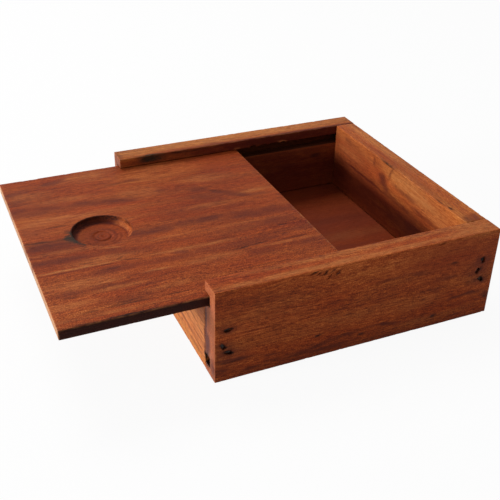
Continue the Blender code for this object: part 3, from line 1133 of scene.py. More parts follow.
@dataclass(frozen=True)
class Recess:
    """The coved finger recess, and the tool marks that its bit leaves.

    setback and offset place its centre from the lid's front end and from the box's middle. patch is
    half the side of the square that its grid fills, which is round up to round_until. floor_step
    is the distance between the grid's rings, and rim_steps are the rim's own in rim_soft.
    turned_shares are the steady and the changing share of the turned lines' depth, and
    turned_sway is how far the lines stray from circles, as a phase.
    """

    setback: float = 0.0323
    offset: float = 0.0022
    floor_radius: float = 0.0103
    cove_radius: float = 0.0022
    depth: float = 0.0028
    rim_soft: float = 0.00022
    ring_radius: float = 0.0037
    ring_depth: float = 0.00034
    pip_radius: float = 0.0008
    pip_depth: float = 0.0006
    turned_depth: float = 0.00007
    turned_pitch: float = 0.0016
    patch: float = 0.0185
    round_until: float = 0.0142
    ring_width: float = 0.0004
    floor_step: float = 0.0004
    rim_steps: tuple[float, ...] = (0.12, 0.3, 0.55, 1.0, 1.6, 3.0)
    cove_rings: int = 13
    outer_rings: int = 6
    turned_shares: tuple[float, float] = (0.6, 0.4)
    turned_sway: float = 0.6

    @property
    def rim_radius(self) -> float:
        """Where the cove's straight wall meets the lid's face."""
        return self.floor_radius + self.cove_radius

    def radii(self) -> np.ndarray:
        """Radii of the grid's rings, close together on the cove, its rim and the tool marks."""
        floor = np.arange(self.floor_step, self.floor_radius, self.floor_step)
        turn = np.linspace(0, math.pi / 2, self.cove_rings)
        cove = self.floor_radius + self.cove_radius * np.sin(turn)
        rim = self.rim_radius + self.rim_soft * np.array(self.rim_steps)
        outside = np.linspace(self.rim_radius + 3 * self.floor_step, self.patch, self.outer_rings)
        return np.unique(np.round(np.concatenate((floor, cove, rim, outside)), 6))

    def sunk(self, radius: np.ndarray, angle: np.ndarray) -> np.ndarray:
        """Depth under the lid's face at a distance and an angle round the recess's centre.

        The floor is flat, but for a ring, a pip and fine turned lines that fade in and out round
        the circle. The cove is an arc tangent to the floor. Outside it the rim rolls over to the
        face by a small quarter circle.
        """
        out = np.clip(radius - self.floor_radius, 0.0, self.cove_radius)
        arc = self.cove_radius - np.sqrt(self.cove_radius ** 2 - out ** 2)
        roll = np.clip((radius - self.rim_radius) / self.rim_soft, 0.0, 1.0)
        rolled = self.rim_soft * (1.0 - np.sqrt(1.0 - (1.0 - roll) ** 2))
        depth = np.where(radius <= self.rim_radius, self.depth - arc, rolled)
        ring = self.ring_depth * np.exp(-((radius - self.ring_radius) / self.ring_width) ** 2)
        pip = self.pip_depth * np.clip(1 - radius / self.pip_radius, 0.0, None)
        steady, changing = self.turned_shares
        sway = self.turned_sway * np.sin(angle + 0.8)
        turned = np.sin(radius * 2 * math.pi / self.turned_pitch + sway)
        turned = self.turned_depth * turned * (steady + changing * np.sin(angle * 2 + 1.0))
        return depth + np.where(radius < self.floor_radius, ring + pip + turned, 0.0)


@dataclass
class SlidingLid(Board):
    """The lid, with its finger recess as rings of the grid that covers its top face."""

    recess: Recess = field(default_factory=Recess)
    top_edge: int = 2

    def _centre(self) -> tuple[float, float]:
        """The recess's centre in x and y."""
        return -self.recess.offset, self.low.y + self.recess.setback

    def _lines(self, low: float, high: float, centre: float) -> np.ndarray:
        """Grid lines: even ones, and inside the recess's patch the recess's own radii."""
        radii = self.recess.radii()
        patch = self.recess.patch
        inside = np.concatenate((centre - radii[::-1], [centre], centre + radii))
        before = even(low, centre - patch, self.spacing)
        behind = even(centre + patch, high, self.spacing)
        return np.concatenate((before, inside, behind))

    def section(self) -> Section:
        """The lid's section across the box, with the same lines on its top and underside."""
        centre_x, _ = self._centre()
        lines = self._lines(self.low.x + self.ease, self.high.x - self.ease, centre_x)
        stops = {0: lines - self.low.x, self.top_edge: self.high.x - lines[::-1]}
        return Section.rounded(self.slab(), self.spacing, stops)

    def span(self) -> tuple[np.ndarray, np.ndarray]:
        """Stations along Y."""
        _, centre_y = self._centre()
        inner = self._lines(self.low.y + self.end_ease, self.high.y - self.end_ease, centre_y)
        return stations(self.low.y, self.high.y, self.end_ease, inner)

    def reshape(self, grid: np.ndarray, section: Section, along: np.ndarray) -> np.ndarray:
        """Bends the top's square rings round the recess to circles, and sinks them.

        A point whose larger offset from the centre is m moves to distance m from it. Between
        round_until and the patch's edge this fades out, so the rest of the grid stays square.
        """
        top = section.edge == self.top_edge
        centre_x, centre_y = self._centre()
        dx = grid[:, top, 0] - centre_x
        dy = grid[:, top, 1] - centre_y
        larger = np.maximum(np.abs(dx), np.abs(dy))
        distance = np.maximum(np.hypot(dx, dy), 1e-9)
        fade = (larger - self.recess.round_until) / (self.recess.patch - self.recess.round_until)
        fade = np.clip(fade, 0.0, 1.0)
        square = fade * fade * (3 - 2 * fade)
        scale = square + (1 - square) * larger / distance
        grid[:, top, 0] = centre_x + dx * scale
        grid[:, top, 1] = centre_y + dy * scale
        sunk = self.recess.sunk(larger, np.arctan2(dy, dx))
        grid[:, top, 2] -= np.where(larger < self.recess.round_until, sunk, 0.0)
        return grid


@dataclass
class Nails:
    """The sunk nails, and the pockets and stains that their heads have made in the side walls.

    Pockets are in metres, and stains in millimetres along and across the grain. A nail's points
    within head_depth of its outermost one are those of its head's outer face.
    """

    finish: DarkSteel = field(default_factory=DarkSteel)
    pocket_long: float = 0.00145
    pocket_wide: float = 0.00080
    pocket_deep: float = 0.0012
    pocket_seed: int = 40
    head_depth: float = 0.0002
    iron_stain: tuple[float, float] = (1.75, 1.05)
    halo: tuple[float, float] = (4.6, 2.4)
    halo_strength: float = 0.45
    stain_depth: float = 3.0

    @property
    def names(self) -> list[str]:
        """The nails' nodes."""
        return sorted(name for name in frame["nodes"] if "_nail_" in name)

    def _head(self, name: str) -> tuple[np.ndarray, np.ndarray]:
        """The head's centre and the way it points, from the nail's outermost points."""
        mesh = frame["nodes"][name].data
        points = np.empty(len(mesh.vertices) * 3, dtype=np.float32)
        mesh.vertices.foreach_get("co", points)
        points = points.reshape(-1, 3).astype(float)
        reach = np.abs(points[:, 0])
        head = np.unique(np.round(points[reach > reach.max() - self.head_depth], 7), axis=0)
        centre = (head.min(axis=0) + head.max(axis=0)) / 2
        _, ways = np.linalg.eigh(np.cov((head - centre)[:, 1:].T))
        return centre, np.array((0.0, *ways[:, 1]))

    def pockets(self, side_name: str, face: float) -> tuple[Gouge, ...]:
        """The pockets over the nails of one side wall, whose outer face is at that place along X."""
        found = []
        for number, name in enumerate(name for name in self.names if name.startswith(side_name)):
            centre, lengthwise = self._head(name)
            found.append(Gouge((face, centre[1], centre[2]), (math.copysign(1.0, face), 0.0, 0.0),
                               tuple(lengthwise), self.pocket_long, self.pocket_wide, self.pocket_deep,
                               seed=self.pocket_seed + number))
        return tuple(found)

    def stains(self, side_name: str, axes: Axes, face: float) -> tuple[Mark, ...]:
        """The dark stain that each nail's iron has left in one side wall."""
        found = []
        for name in (name for name in self.names if name.startswith(side_name)):
            centre, lengthwise = self._head(name)
            along, across, inside = axes.locate((face, centre[1], centre[2]))
            turn = math.degrees(math.atan2(-lengthwise[2], lengthwise[1]))
            inward = (inside, self.stain_depth)
            found.append(Mark(Tint.IRON_AND_SHADE, along, across, *self.iron_stain, turn, 1.0, *inward))
            found.append(Mark(Tint.STREAK, along, across, *self.halo, 0.0, self.halo_strength, *inward))
        return tuple(found)

    def dress(self) -> None:
        """Gives every nail its steel."""
        steel = self.finish.material()
        for name in self.names:
            nail = frame["nodes"][name]
            nail.data.materials.clear()
            nail.data.materials.append(steel)


def direction(azimuth: float, elevation: float) -> Vector:
    """The way to a place at those angles in degrees: azimuth from -Y towards +X, elevation up."""
    turn, rise = math.radians(azimuth), math.radians(elevation)
    return Vector((math.sin(turn) * math.cos(rise), -math.cos(turn) * math.cos(rise), math.sin(rise)))


@dataclass(frozen=True)
class Viewpoint:
    """The photograph's camera, as an aim, two angles, a roll, a distance and a focal length."""

    aim: Triple = (-0.02006, 0.01679, 0.0)
    azimuth: float = 65.50
    elevation: float = 31.13
    roll: float = 1.41
    distance: float = 0.4020
    focal_pixels: float = 824.8
    image_pixels: float = 500.0
    sensor: float = 36.0
    nearest: float = 0.01

    def build(self) -> bpy.types.Object:
        """Makes the camera and sets it as the scene's."""
        back = direction(self.azimuth, self.elevation)
        right = (-back).cross(Vector((0, 0, 1))).normalized()
        up = right.cross(-back)
        roll = math.radians(self.roll)
        rolled_right = right * math.cos(roll) + up * math.sin(roll)
        rolled_up = up * math.cos(roll) - right * math.sin(roll)
        lens = bpy.data.cameras.new("camera")
        lens.sensor_width = self.sensor
        lens.lens = self.focal_pixels / self.image_pixels * self.sensor
        lens.clip_start = self.nearest
        lens.dof.use_dof = False
        camera = bpy.data.objects.new("camera", lens)
        turn = Matrix((rolled_right, rolled_up, back)).transposed().to_4x4()
        camera.matrix_world = Matrix.Translation(Vector(self.aim) + back * self.distance) @ turn
        bpy.context.collection.objects.link(camera)
        bpy.context.scene.camera = camera
        return camera


@dataclass(frozen=True)
class SoftBox:
    """A square soft light that faces the box from a direction, a distance and with a side.

    level is the light that it gives a white face turned to it, where 1 renders as white.
    """

    name: str
    azimuth: float
    elevation: float
    distance: float
    side: float
    level: float
    colour: Colour = (1.0, 1.0, 1.0)

    def build(self, aim: Vector) -> bpy.types.Object:
        """Makes the light, turned to the aim."""
        away = direction(self.azimuth, self.elevation)
        lamp = bpy.data.lights.new(self.name, "AREA")
        lamp.size = self.side
        lamp.energy = self.level * math.pi ** 2 * self.distance ** 2
        lamp.color = self.colour
        light = bpy.data.objects.new(self.name, lamp)
        light.location = aim + away * self.distance
        light.rotation_euler = away.to_track_quat("Z", "Y").to_euler()
        bpy.context.collection.objects.link(light)
        return light


@dataclass(frozen=True)
class Studio:
    """A pale floor, a white surround, and soft lights at the opening end and on the far side."""

    ambient: float = 0.36
    floor_colour: Colour = (0.82, 0.82, 0.82)
    floor_glow: float = 0.93
    speckle_share: float = 0.985
    speckles_per_metre: float = 60.0
    floor_half: float = 4.0
    floor_drop: float = 0.00005
    aim: Triple = (0.0, 0.02, 0.02)
    boxes: tuple[SoftBox, ...] = (
        SoftBox("opening_end_light", azimuth=0.0, elevation=11.5, distance=0.9, side=0.16, level=0.90),
        SoftBox("far_side_light", azimuth=-70.0, elevation=54.0, distance=1.0, side=0.5, level=0.56),
    )

    def build(self) -> None:
        """Makes the surround, the floor and the lights."""
        self._surround()
        self._floor()
        for box in self.boxes:
            box.build(Vector(self.aim))

    @staticmethod
    def _in_view(graph: Graph) -> Wire:
        """1 for what the camera, gloss and glass show, and 0 for light on the object."""
        path = graph.node("ShaderNodeLightPath", output="Is Camera Ray")
        glossy, through = (Wire(graph, path.socket.node.outputs[name])
                           for name in ("Is Glossy Ray", "Is Transmission Ray"))
        return graph.sum_up("MAXIMUM", graph.sum_up("MAXIMUM", path, glossy), through)

    def _surround(self) -> None:
        """A world that shows white and lights at the ambient level."""
        world = bpy.data.worlds.new("surround")
        graph = Graph(world)
        strength = graph.node("ShaderNodeMapRange", inputs={
            "Value": self._in_view(graph), "To Min": self.ambient, "To Max": 1.0})
        graph.finish(graph.node("ShaderNodeBackground", inputs={
            "Color": (1.0, 1.0, 1.0), "Strength": strength}))
        bpy.context.scene.world = world

    def _floor(self) -> None:
        """A wide floor just under the box, white to the camera but for the box's soft shadow."""
        half, height = self.floor_half, -self.floor_drop
        mesh = bpy.data.meshes.new("floor")
        sites = ((-half, -half), (half, -half), (half, half), (-half, half))
        mesh.from_pydata([(x, y, height) for x, y in sites], [], [(0, 1, 2, 3)])
        floor = bpy.data.objects.new("floor", mesh)
        bpy.context.collection.objects.link(floor)
        graph = Graph(bpy.data.materials.new("floor_paper"))
        place = graph.node("ShaderNodeTexCoord", output="Object")
        speckle = graph.noise(place, (self.speckles_per_metre,) * 3, 1.0, 3.0, 0.6)
        darker = tuple(part * self.speckle_share for part in self.floor_colour)
        colour = graph.mix(speckle * 0.5 + 0.5, self.floor_colour, darker)
        paper = graph.node("ShaderNodeBsdfDiffuse", inputs={"Color": colour})
        glow = graph.node("ShaderNodeEmission", inputs={"Color": (1.0, 1.0, 1.0), "Strength": 1.0})
        shader = graph.node("ShaderNodeMixShader", inputs={
            0: self._in_view(graph) * self.floor_glow, 1: paper, 2: glow})
        mesh.materials.append(graph.finish(shader))


def marks_of(rows_by_tint: Mapping[Tint, Sequence[Sequence[float]]], inside: float = 0.0,
             deep: float = 5.0) -> tuple[Mark, ...]:
    """A board's marks from rows of numbers, in the order of a mark's fields after its tint.

    Args:
        rows_by_tint: For each tint its rows. A row of six leaves out inside and deep.
        inside: The place on w of the marks whose rows leave it out.
        deep: The reach on w of the marks whose rows leave it out.

    Returns:
        The marks.
    """
    return tuple(Mark(tint, *row, *(inside, deep)[len(row) - 6:])
                 for tint, rows in rows_by_tint.items() for row in rows)


def lid_marks() -> tuple[Mark, ...]:
    """The lid's bands, streaks and golden lines, on its top face, from the far edge to the near one."""
    return marks_of({
        # The second blush is painted shade on the recess's floor and lower cove.
        Tint.BLUSH: ((98, 16, 9, 14, 0, 0.55), (32.3, 57.8, 11, 11, 0, 0.75, 2.9, 1.3)),
        Tint.HONEY: (
            (31.5, 72.6, 5, 0.6, 12, 0.4), (15, 83.2, 18, 0.8, 1, 0.46), (25, 83.4, 5, 0.7, 1, 0.46),
            # The last honey mark, a pale line along the lid's rear edge, is partly a painted edge highlight.
            (22, 96, 8, 1, 0, 0.26), (44, 95.2, 6, 0.6, 0, 0.36), (115.9, 92, 0.5, 24, 0, 0.4),
        ),
        Tint.GOLD: (
            (38, 7, 12, 5, 0, 0.42), (10, 17, 10, 4, 0, 0.34), (22, 26, 16, 2.6, 0, 0.34),
            (68, 12, 22, 9, 0, 0.3), (20, 42.5, 22, 3.4, 0, 0.46), (57, 31, 9, 6, 0, 0.34),
            (90, 28, 13, 4, 4, 0.36), (105, 47.5, 9, 1.5, -4, 0.52), (84, 53.5, 12, 2, 2, 0.34),
            (20, 69.5, 24, 1.6, 2, 0.24), (55, 73.2, 18, 1, 1, 0.24), (88, 73.6, 26, 1.1, 0, 0.2),
            (27, 80.3, 13, 2.6, 0, 0.42), (64, 84.6, 18, 1.2, 1, 0.52), (14, 94.6, 16, 3.6, 0, 0.44),
            (68, 96, 13, 2.4, 0, 0.38), (100, 94.4, 15, 0.9, 0, 0.42), (28, 101.6, 10, 1.4, 0, 0.36),
            (6, 107, 12, 3, 0, 0.36), (44, 107, 9, 1.6, 0, 0.34), (20, 116, 30, 1, 0, 0.36),
        ),
        Tint.STREAK: (
            (20.6, 13.2, 2.4, 0.7, 0, 0.3), (56.5, 17.8, 6, 1.3, 2, 0.52), (3, 29.5, 8, 2.6, 0, 0.66),
            (9, 32, 18, 4.6, 2, 0.56), (15, 34, 5, 1.6, 0, 0.42), (36, 33, 13, 2.8, 4, 0.7),
            (46, 35.8, 8, 2.4, 6, 0.86), (67, 32.6, 3.6, 0.9, 0, 0.42), (83, 37.5, 5, 2.6, 28, 0.66),
            (92, 44.6, 7, 2.6, 30, 0.76), (98, 49, 7, 2, 24, 0.8), (104.5, 51, 7, 1.6, 8, 0.58),
            (84, 46.5, 9, 4.6, 24, 0.44), (100, 45.4, 5, 0.5, -8, 0.46), (67, 55.5, 6, 3, 0, 0.26),
            (76.5, 55.4, 4.6, 2.4, 0, 0.34), (92, 58, 12, 2, 0, 0.34), (8, 63, 15, 4.2, 4, 0.84),
            (16, 65.6, 8, 2, 2, 0.6), (50, 65.8, 12, 2.8, 2, 0.86), (74, 64.8, 15, 2.8, 0, 0.84),
            (98, 67, 24, 3.8, 3, 0.7), (93, 69, 7, 0.9, 0, 0.5), (8, 75.6, 18, 2.6, 1, 0.72),
            (31.5, 75.2, 6, 1.5, 12, 0.64), (38, 77.8, 11, 2.4, 6, 0.5), (61, 77.2, 8, 1, 0, 0.4),
            (89, 77, 16, 3, -4, 0.4), (103, 77, 9, 3, 0, 0.56), (10, 84.6, 10, 0.6, 0, 0.48),
            (29, 89, 12, 2.2, 0, 0.76), (51, 89.6, 14, 2.2, 0, 0.5), (66, 88.6, 11, 2.2, 0, 0.42),
            (85, 89.4, 15, 2.6, 0, 0.5), (112, 86, 9, 2.2, 0, 0.42), (39, 95.6, 8, 0.7, 2, 0.46),
            (88, 98, 7, 2.8, 0, 0.5), (111, 97, 9, 2, -4, 0.46), (8, 99.4, 7, 1.5, 2, 0.6),
            (24, 99.6, 11, 1.1, 0, 0.44), (40, 103.6, 7, 0.8, -2, 0.48), (29, 104.4, 4, 0.7, 0, 0.5),
            (30, 110, 10, 3.2, 0, 0.46),
        ),
        Tint.PLUM: (
            (22.5, 7.5, 6.5, 2.4, -12, 0.52), (4, 13, 7, 2.2, -16, 0.46), (4, 21, 5, 2, 0, 0.2),
            (5, 50, 6, 5, 0, 0.24), (56.4, 86.2, 3, 1.2, 6, 0.55),
        ),
        Tint.CRACK: (
            (48.3, 18.4, 4.4, 0.9, -2, 0.52), (76.5, 31.4, 2.6, 0.7, 0, 0.36),
            (88.7, 41.2, 2, 1.1, 20, 0.52), (16.4, 48.6, 4.2, 0.6, 0, 0.55), (8, 59.2, 11, 0.8, 6, 0.5),
            (104.3, 81, 2.2, 0.6, 0, 0.62), (20, 81, 3, 0.4, 2, 0.42), (33, 81.4, 3, 0.4, -6, 0.42),
            (27, 84.8, 3.4, 0.4, 2, 0.46), (37.5, 84.4, 3.4, 0.45, 14, 0.46), (77, 83, 6, 0.5, 0, 0.44),
            (80.5, 92.4, 4.8, 0.8, -2, 0.8), (89, 91.8, 5, 0.5, -4, 0.5), (104, 92.4, 8, 0.6, 0, 0.52),
            (102, 88, 3, 0.5, 0, 0.42), (8.6, 102, 3, 0.5, 3, 0.55), (27, 111.4, 6, 0.6, 0, 0.52),
            (28, 113, 9, 0.5, 1, 0.52), (13, 113.2, 4, 0.5, 0, 0.5), (46, 113.2, 7, 0.5, 0, 0.52),
            (24, 120.2, 34, 1, 0, 1.1),
        ),
        Tint.STAIN: (
            (18.6, 60.6, 2.8, 2.4, 10, 1.1), (18.4, 57.8, 2.2, 0.8, 4, 0.8), (20.4, 63.4, 1.9, 1, 30, 0.9),
        ),
    })


def lid_arcs() -> tuple[Arc, ...]:
    """The lid's arcs round its recess: the dark rim, the stain that hugs it, the bit's marks, and the cove's
    painted shade and light.
    """
    low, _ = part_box("sliding_lid")
    recess = Recess()
    along, across = recess.setback / MM, (-recess.offset - low.x) / MM
    rim, floor = recess.rim_radius / MM, recess.floor_radius / MM
    ring = recess.ring_radius / MM
    wall = (rim + floor) / 2
    rows = (
        (Tint.CRACK, rim + 0.10, 0.55, 240, 0.85, -0.1, 0.2),
        (Tint.CRACK, rim + 0.15, 0.40, 320, 0.55, 0.3, 0.3),
        (Tint.STAIN, rim + 0.60, 1.90, 166, 1.10, 0.8, 2.6),
        # Painted shade on the cove's wall turned from the lights, with a black core.
        (Tint.SHADE, wall - 0.1, 2.10, 230, 1.00, -0.2, 0.3),
        (Tint.IRON_AND_SHADE, wall + 0.2, 1.40, 232, 0.55, 0.2, 0.5),
        # A painted lit crescent on the cove's wall that faces the opening-end light.
        (Tint.GOLD, wall + 0.3, 1.15, 350, 0.42, 0.35, 0.9),
        (Tint.SHADE, floor - 0.1, 0.45, 20, 0.50, -0.4, 0.3),
        (Tint.STREAK, ring, 0.60, 100, 0.60, -0.6, 0.5),
        (Tint.SHADE, ring * 1.6, 0.90, 350, 0.50, 0.0, 0.9),
        (Tint.SHADE, ring * 2.1, 0.60, 80, 0.42, -0.1, 0.9),
        (Tint.SHADE, ring * 1.3, 0.50, 200, 0.50, 0.1, 0.9),
    )
    pip = Arc(Tint.STREAK, along - 0.5, across + 0.4, ring * 0.45, 0.50, 210, 0.65, -0.5, 0.4)
    return (*(Arc(tint, along, across, *sizes) for tint, *sizes in rows), pip)


def right_wall_marks() -> tuple[Mark, ...]:
    """The near wall's streaks and torn specks, on its outer face and its top edge, and its front end grain
    darkened partly by painted shade.
    """
    return marks_of({
        Tint.BLUSH: (
            (105, 8, 26, 10, 0, 0.5), (121, 12, 8, 9, 0, 0.45), (50, 0, 62, 2, 0, 0.14, 5.6, 1.9),
        ),
        Tint.GOLD: (
            (18, 15, 22, 8, 0, 0.16), (58, 26, 34, 3.4, -1, 0.2), (91, 27.5, 14, 3, 0, 0.2),
            (92, 37, 16, 1.8, 0, 0.2), (118, 0, 14, 3, 0, 0.6, 5, 5), (20, 0, 24, 2, 0, 0.55, 2, 1.4),
            (66, 0, 50, 2, 0, 0.5, 8.2, 1.6), (60, 0, 60, 2, 0, 0.64, 2.4, 1.6),
        ),
        Tint.STREAK: (
            (8, 32.5, 8, 1.1, 2, 0.66), (1.5, 36.4, 4, 1.7, 0, 0.66), (14.5, 38.4, 5, 1, -3, 0.66),
            (24, 34.5, 4, 0.7, 2, 0.46), (34, 37.2, 11, 1.4, -2, 0.5), (46, 35.6, 6, 1, -18, 0.62),
            (50, 38.4, 13, 1.2, 0, 0.5), (58, 34.2, 6, 0.8, 0, 0.5), (68, 33.2, 5, 0.7, 0, 0.42),
            (77, 34.4, 6, 1, 10, 0.66), (111, 29.2, 6, 0.7, -5, 0.6), (118, 28.8, 5, 1, 0, 0.66),
            (125, 31.6, 3.4, 1.6, 35, 0.72), (110, 38.6, 3, 0.7, 0, 0.52), (77, 12, 7, 0.6, -3, 0.55),
            (90, 13, 5, 1.1, 8, 0.44), (103, 18.4, 8, 1.2, 0, 0.42), (99, 22.6, 4, 0.8, 0, 0.46),
            (66, 40.4, 60, 1.4, 0, 0.28), (40, 0, 12, 2, 0, 0.12, 5.6, 0.7),
            # The streak at u 0, on the front end grain by the seam, is partly purple wood and partly painted
            # shade under the lid.
            (70, 0, 16, 2, 0, 0.12, 4.4, 0.6), (0, 19, 2, 12, 0, 1.1, 9.8, 1.5),
        ),
        Tint.PLUM: (
            # The plums at u 0, on the front end grain, are partly purple wood and partly painted shade under
            # the lid and by the notch.
            (6, 30, 9, 6, 0, 0.26), (119, 19, 7, 7, 0, 0.3), (0, 28, 2, 5, 0, 1.1, 7.8, 3),
            (0, 36, 2, 5, 0, 0.55, 2.6, 2.6),
        ),
        Tint.CRACK: (
            (44.4, 31, 2.4, 0.7, -15, 0.66, 0, 2), (64.5, 36, 1.6, 0.7, 0, 0.6, 0, 2),
            (99, 36.3, 1.3, 1, 20, 0.8, 0, 2), (97.5, 29.3, 1, 0.5, 0, 0.5, 0, 2),
            (105.5, 11.7, 2.4, 0.5, 2, 0.62, 0, 2), (7, 32.9, 5, 0.4, 1, 0.45, 0, 2),
            (35, 37.8, 4, 0.5, 0, 0.45, 0, 2), (124.5, 32.6, 1.2, 0.7, 40, 0.6, 0, 2),
            (39.8, 0.9, 2, 0.5, -12, 0.8, 0, 1.6), (42.6, 1.5, 1.1, 0.4, -38, 0.75, 0, 1.6),
            (45.2, 1.8, 1.5, 0.45, -38, 0.8, 0, 1.6), (48.4, 1.3, 1.2, 0.4, -40, 0.7, 0, 1.6),
            (47.2, 3.9, 0.9, 0.35, -38, 0.65, 0, 1.6), (50.4, 3, 1.5, 0.45, -45, 0.8, 0, 1.6),
            (98, 0.6, 1.4, 0.4, -4, 0.5, 0, 1.6),
        ),
        # Painted shade round the panel groove's notch in the front end grain.
        Tint.IRON_AND_SHADE: ((0, 35.4, 9, 3.3, 0, 1.1, 8, 3),),
    }, deep=3)


def back_wall_marks() -> tuple[Mark, ...]:
    """The back wall's figure: a pale upper band with a knot, and darker wood under it, deepened by painted
    shade.
    """
    return marks_of({
        Tint.BLUSH: (
            (16, 8, 26, 6, 0, 0.66, 0, 4), (45, 9.5, 8, 5, 20, 0.6), (24, 12.5, 26, 2.4, 0, 0.5),
            (58, 26, 90, 12, 0, 0.9), (88, 15.4, 20, 1.6, 2, 0.6), (60, 0, 40, 2, 0, 0.4, 3, 2.2),
        ),
        Tint.HONEY: (
            (74, 4.6, 26, 4.4, 3, 0.6, 0, 4), (18, 4, 22, 3.2, 0, 0.2, 0, 4),
            (92, 9, 18, 2.6, 4, 0.4, 0, 4), (30, 0, 40, 2, 0, 0.4, 7, 3),
        ),
        Tint.GOLD: ((16, 9.5, 14, 2.6, 0, 0.4, 0, 4),),
        Tint.SHADE: (
            (60, 10, 110, 20, 0, 0.2, 0, 4), (30, 15.7, 36, 0.9, 0, 0.8), (74, 16.4, 30, 1.2, 1, 0.6),
            (40, 25, 66, 8, 0, 0.66), (8, 22, 14, 9, 0, 0.66),
        ),
        Tint.STREAK: (
            (53, 4.2, 1, 4.2, 24, 0.6), (38.4, 3.6, 1.2, 2.8, -10, 0.6), (12, 3.6, 3.6, 1.5, 0, 0.34),
            (49.5, 12.4, 5, 2.6, 30, 0.66), (66, 8.6, 11, 1.5, 2, 0.52), (84, 12.4, 16, 1.2, 3, 0.46),
            (20, 11.6, 14, 0.8, 2, 0.34), (27, 17.6, 5, 0.7, 0, 0.55), (62, 15.2, 12, 0.9, 2, 0.55),
            (80, 18.4, 12, 0.9, 2, 0.6), (98, 17, 9, 0.8, 3, 0.55), (109.5, 0, 3.6, 3, 0, 0.6, 4.5, 4.4),
        ),
        Tint.PLUM: ((84, 24, 26, 5, 2, 0.6),),
        Tint.KNOT: ((47, 8.6, 3.6, 2.6, 20, 0.56),),
        Tint.CRACK: (
            (50, 0, 6.5, 0.9, 0, 0.75, 0, 0.9), (98.5, 0, 1.3, 1, 0, 0.85, 1.5, 0.8),
            (92, 0, 4, 1, 0, 0.5, 0.6, 0.5),
        ),
    })


def left_wall_marks() -> tuple[Mark, ...]:
    """The far wall's marks, on its inner face, the lip over the lid and its top edge."""
    return marks_of({
        Tint.BLUSH: ((63, 22, 120, 18, 0, 0.6, 0, 5), (36, 0, 36, 2, 0, 0.56, 1.4, 1.4)),
        Tint.HONEY: ((62, 0, 90, 2, 0, 0.5, 6.5, 4.4), (12, 0, 14, 2, 0, 0.42, 5, 3)),
        Tint.SHADE: ((63, 20, 110, 15, 0, 0.78, 0, 5), (98, 2.6, 72, 8, 0, 1.1, 0, 1.5)),
        Tint.STREAK: (
            (88, 18, 20, 1, 3, 0.62), (92, 11, 26, 0.8, 1, 0.55), (85, 24, 24, 1, -1, 0.5),
            (48, 0, 4.5, 2, 0, 0.52, 2, 1.3), (53, 0, 2, 2, 0, 0.55, 1.3, 0.8),
        ),
        Tint.PLUM: ((0, 2.4, 2, 6, 0, 0.66, 4.5, 5),),
        Tint.KNOT: ((105.5, 15, 3, 1.3, 0, 0.9),),
        Tint.CRACK: ((34, 1, 16, 0.7, 0, 0.55, 0, 0.8),),
        Tint.STAIN: ((15.5, 1, 6.4, 2.6, 0, 1.35, 0, 1.1),),
        Tint.BARE: (
            (59.5, 4.3, 2, 0.6, -20, 0.45, 0, 0.9), (67, 4.5, 1.4, 0.4, 0, 0.6, 0, 0.9),
            (73, 4.4, 1.8, 0.4, 0, 0.35, 0, 0.9), (80, 4.3, 1.2, 0.4, 0, 0.35, 0, 0.9),
            (85.5, 4, 2.8, 0.7, 12, 0.55, 0, 0.9),
        ),
    }, deep=3)


def front_wall_marks() -> tuple[Mark, ...]:
    """The low front wall's dark dashes on a golden ground, on its outer face."""
    dashes = (
        (97, 15.5, 8, 0.6, 4), (86, 23.5, 10, 0.7, 3), (102, 21.5, 7, 0.6, 5), (62, 12, 20, 0.8, 2),
        (40, 21, 24, 0.9, 1), (20, 8, 14, 0.8, -2), (97, 6, 8, 0.7, 4), (100, 28, 10, 0.7, 2),
        (105, 11, 5, 0.5, 4), (92, 9.5, 6, 0.5, 3), (90, 19, 7, 0.5, 5), (104, 25.5, 6, 0.5, 3),
        (107, 17.5, 4, 0.5, 4), (84, 14, 8, 0.5, 2), (95, 24.6, 5, 0.5, 5), (74, 27, 12, 0.6, 1),
    )
    lines = tuple(Mark(Tint.STREAK, along, across, long * 0.8, wide, turn, 0.52, 0, 4)
                  for along, across, long, wide, turn in dashes)
    return marks_of({
        Tint.BLUSH: ((98, 3, 14, 3, 0, 0.2),),
        Tint.HONEY: ((60, 15, 90, 14, 0, 0.62), (98, 14, 12, 6, 3, 0.5)),
        Tint.STREAK: ((111.4, 15, 1.2, 13, 0, 0.8, 0, 9),),
        # Painted shade in the corner by the panel groove's notch.
        Tint.IRON_AND_SHADE: ((111.5, 26.3, 0.8, 2.6, 0, 1.2, 0, 9),),
    }) + lines


def panel_marks() -> tuple[Mark, ...]:
    """The bottom panel's broad reddish zones, and its darker far side."""
    return marks_of({
        Tint.BLUSH: ((66, 62, 90, 60, 0, 0.8),),
        Tint.GOLD: ((90, 56, 24, 4, 1, 0.24),),
        Tint.SHADE: ((60, 4, 120, 16, 0, 0.5), (122, 60, 5, 90, 0, 0.6)),
        Tint.STREAK: (
            (84, 40, 26, 3, 2, 0.34), (70, 66, 30, 2.4, -1, 0.34), (96, 84, 18, 2, 2, 0.34),
        ),
        Tint.PLUM: ((92, 46, 30, 24, 0, 0.34),),
        # Painted shade on the panel's front corner, seen through the notch.
        Tint.IRON_AND_SHADE: ((0, 119, 6, 7, 0, 1.2, 0, 9),),
    })


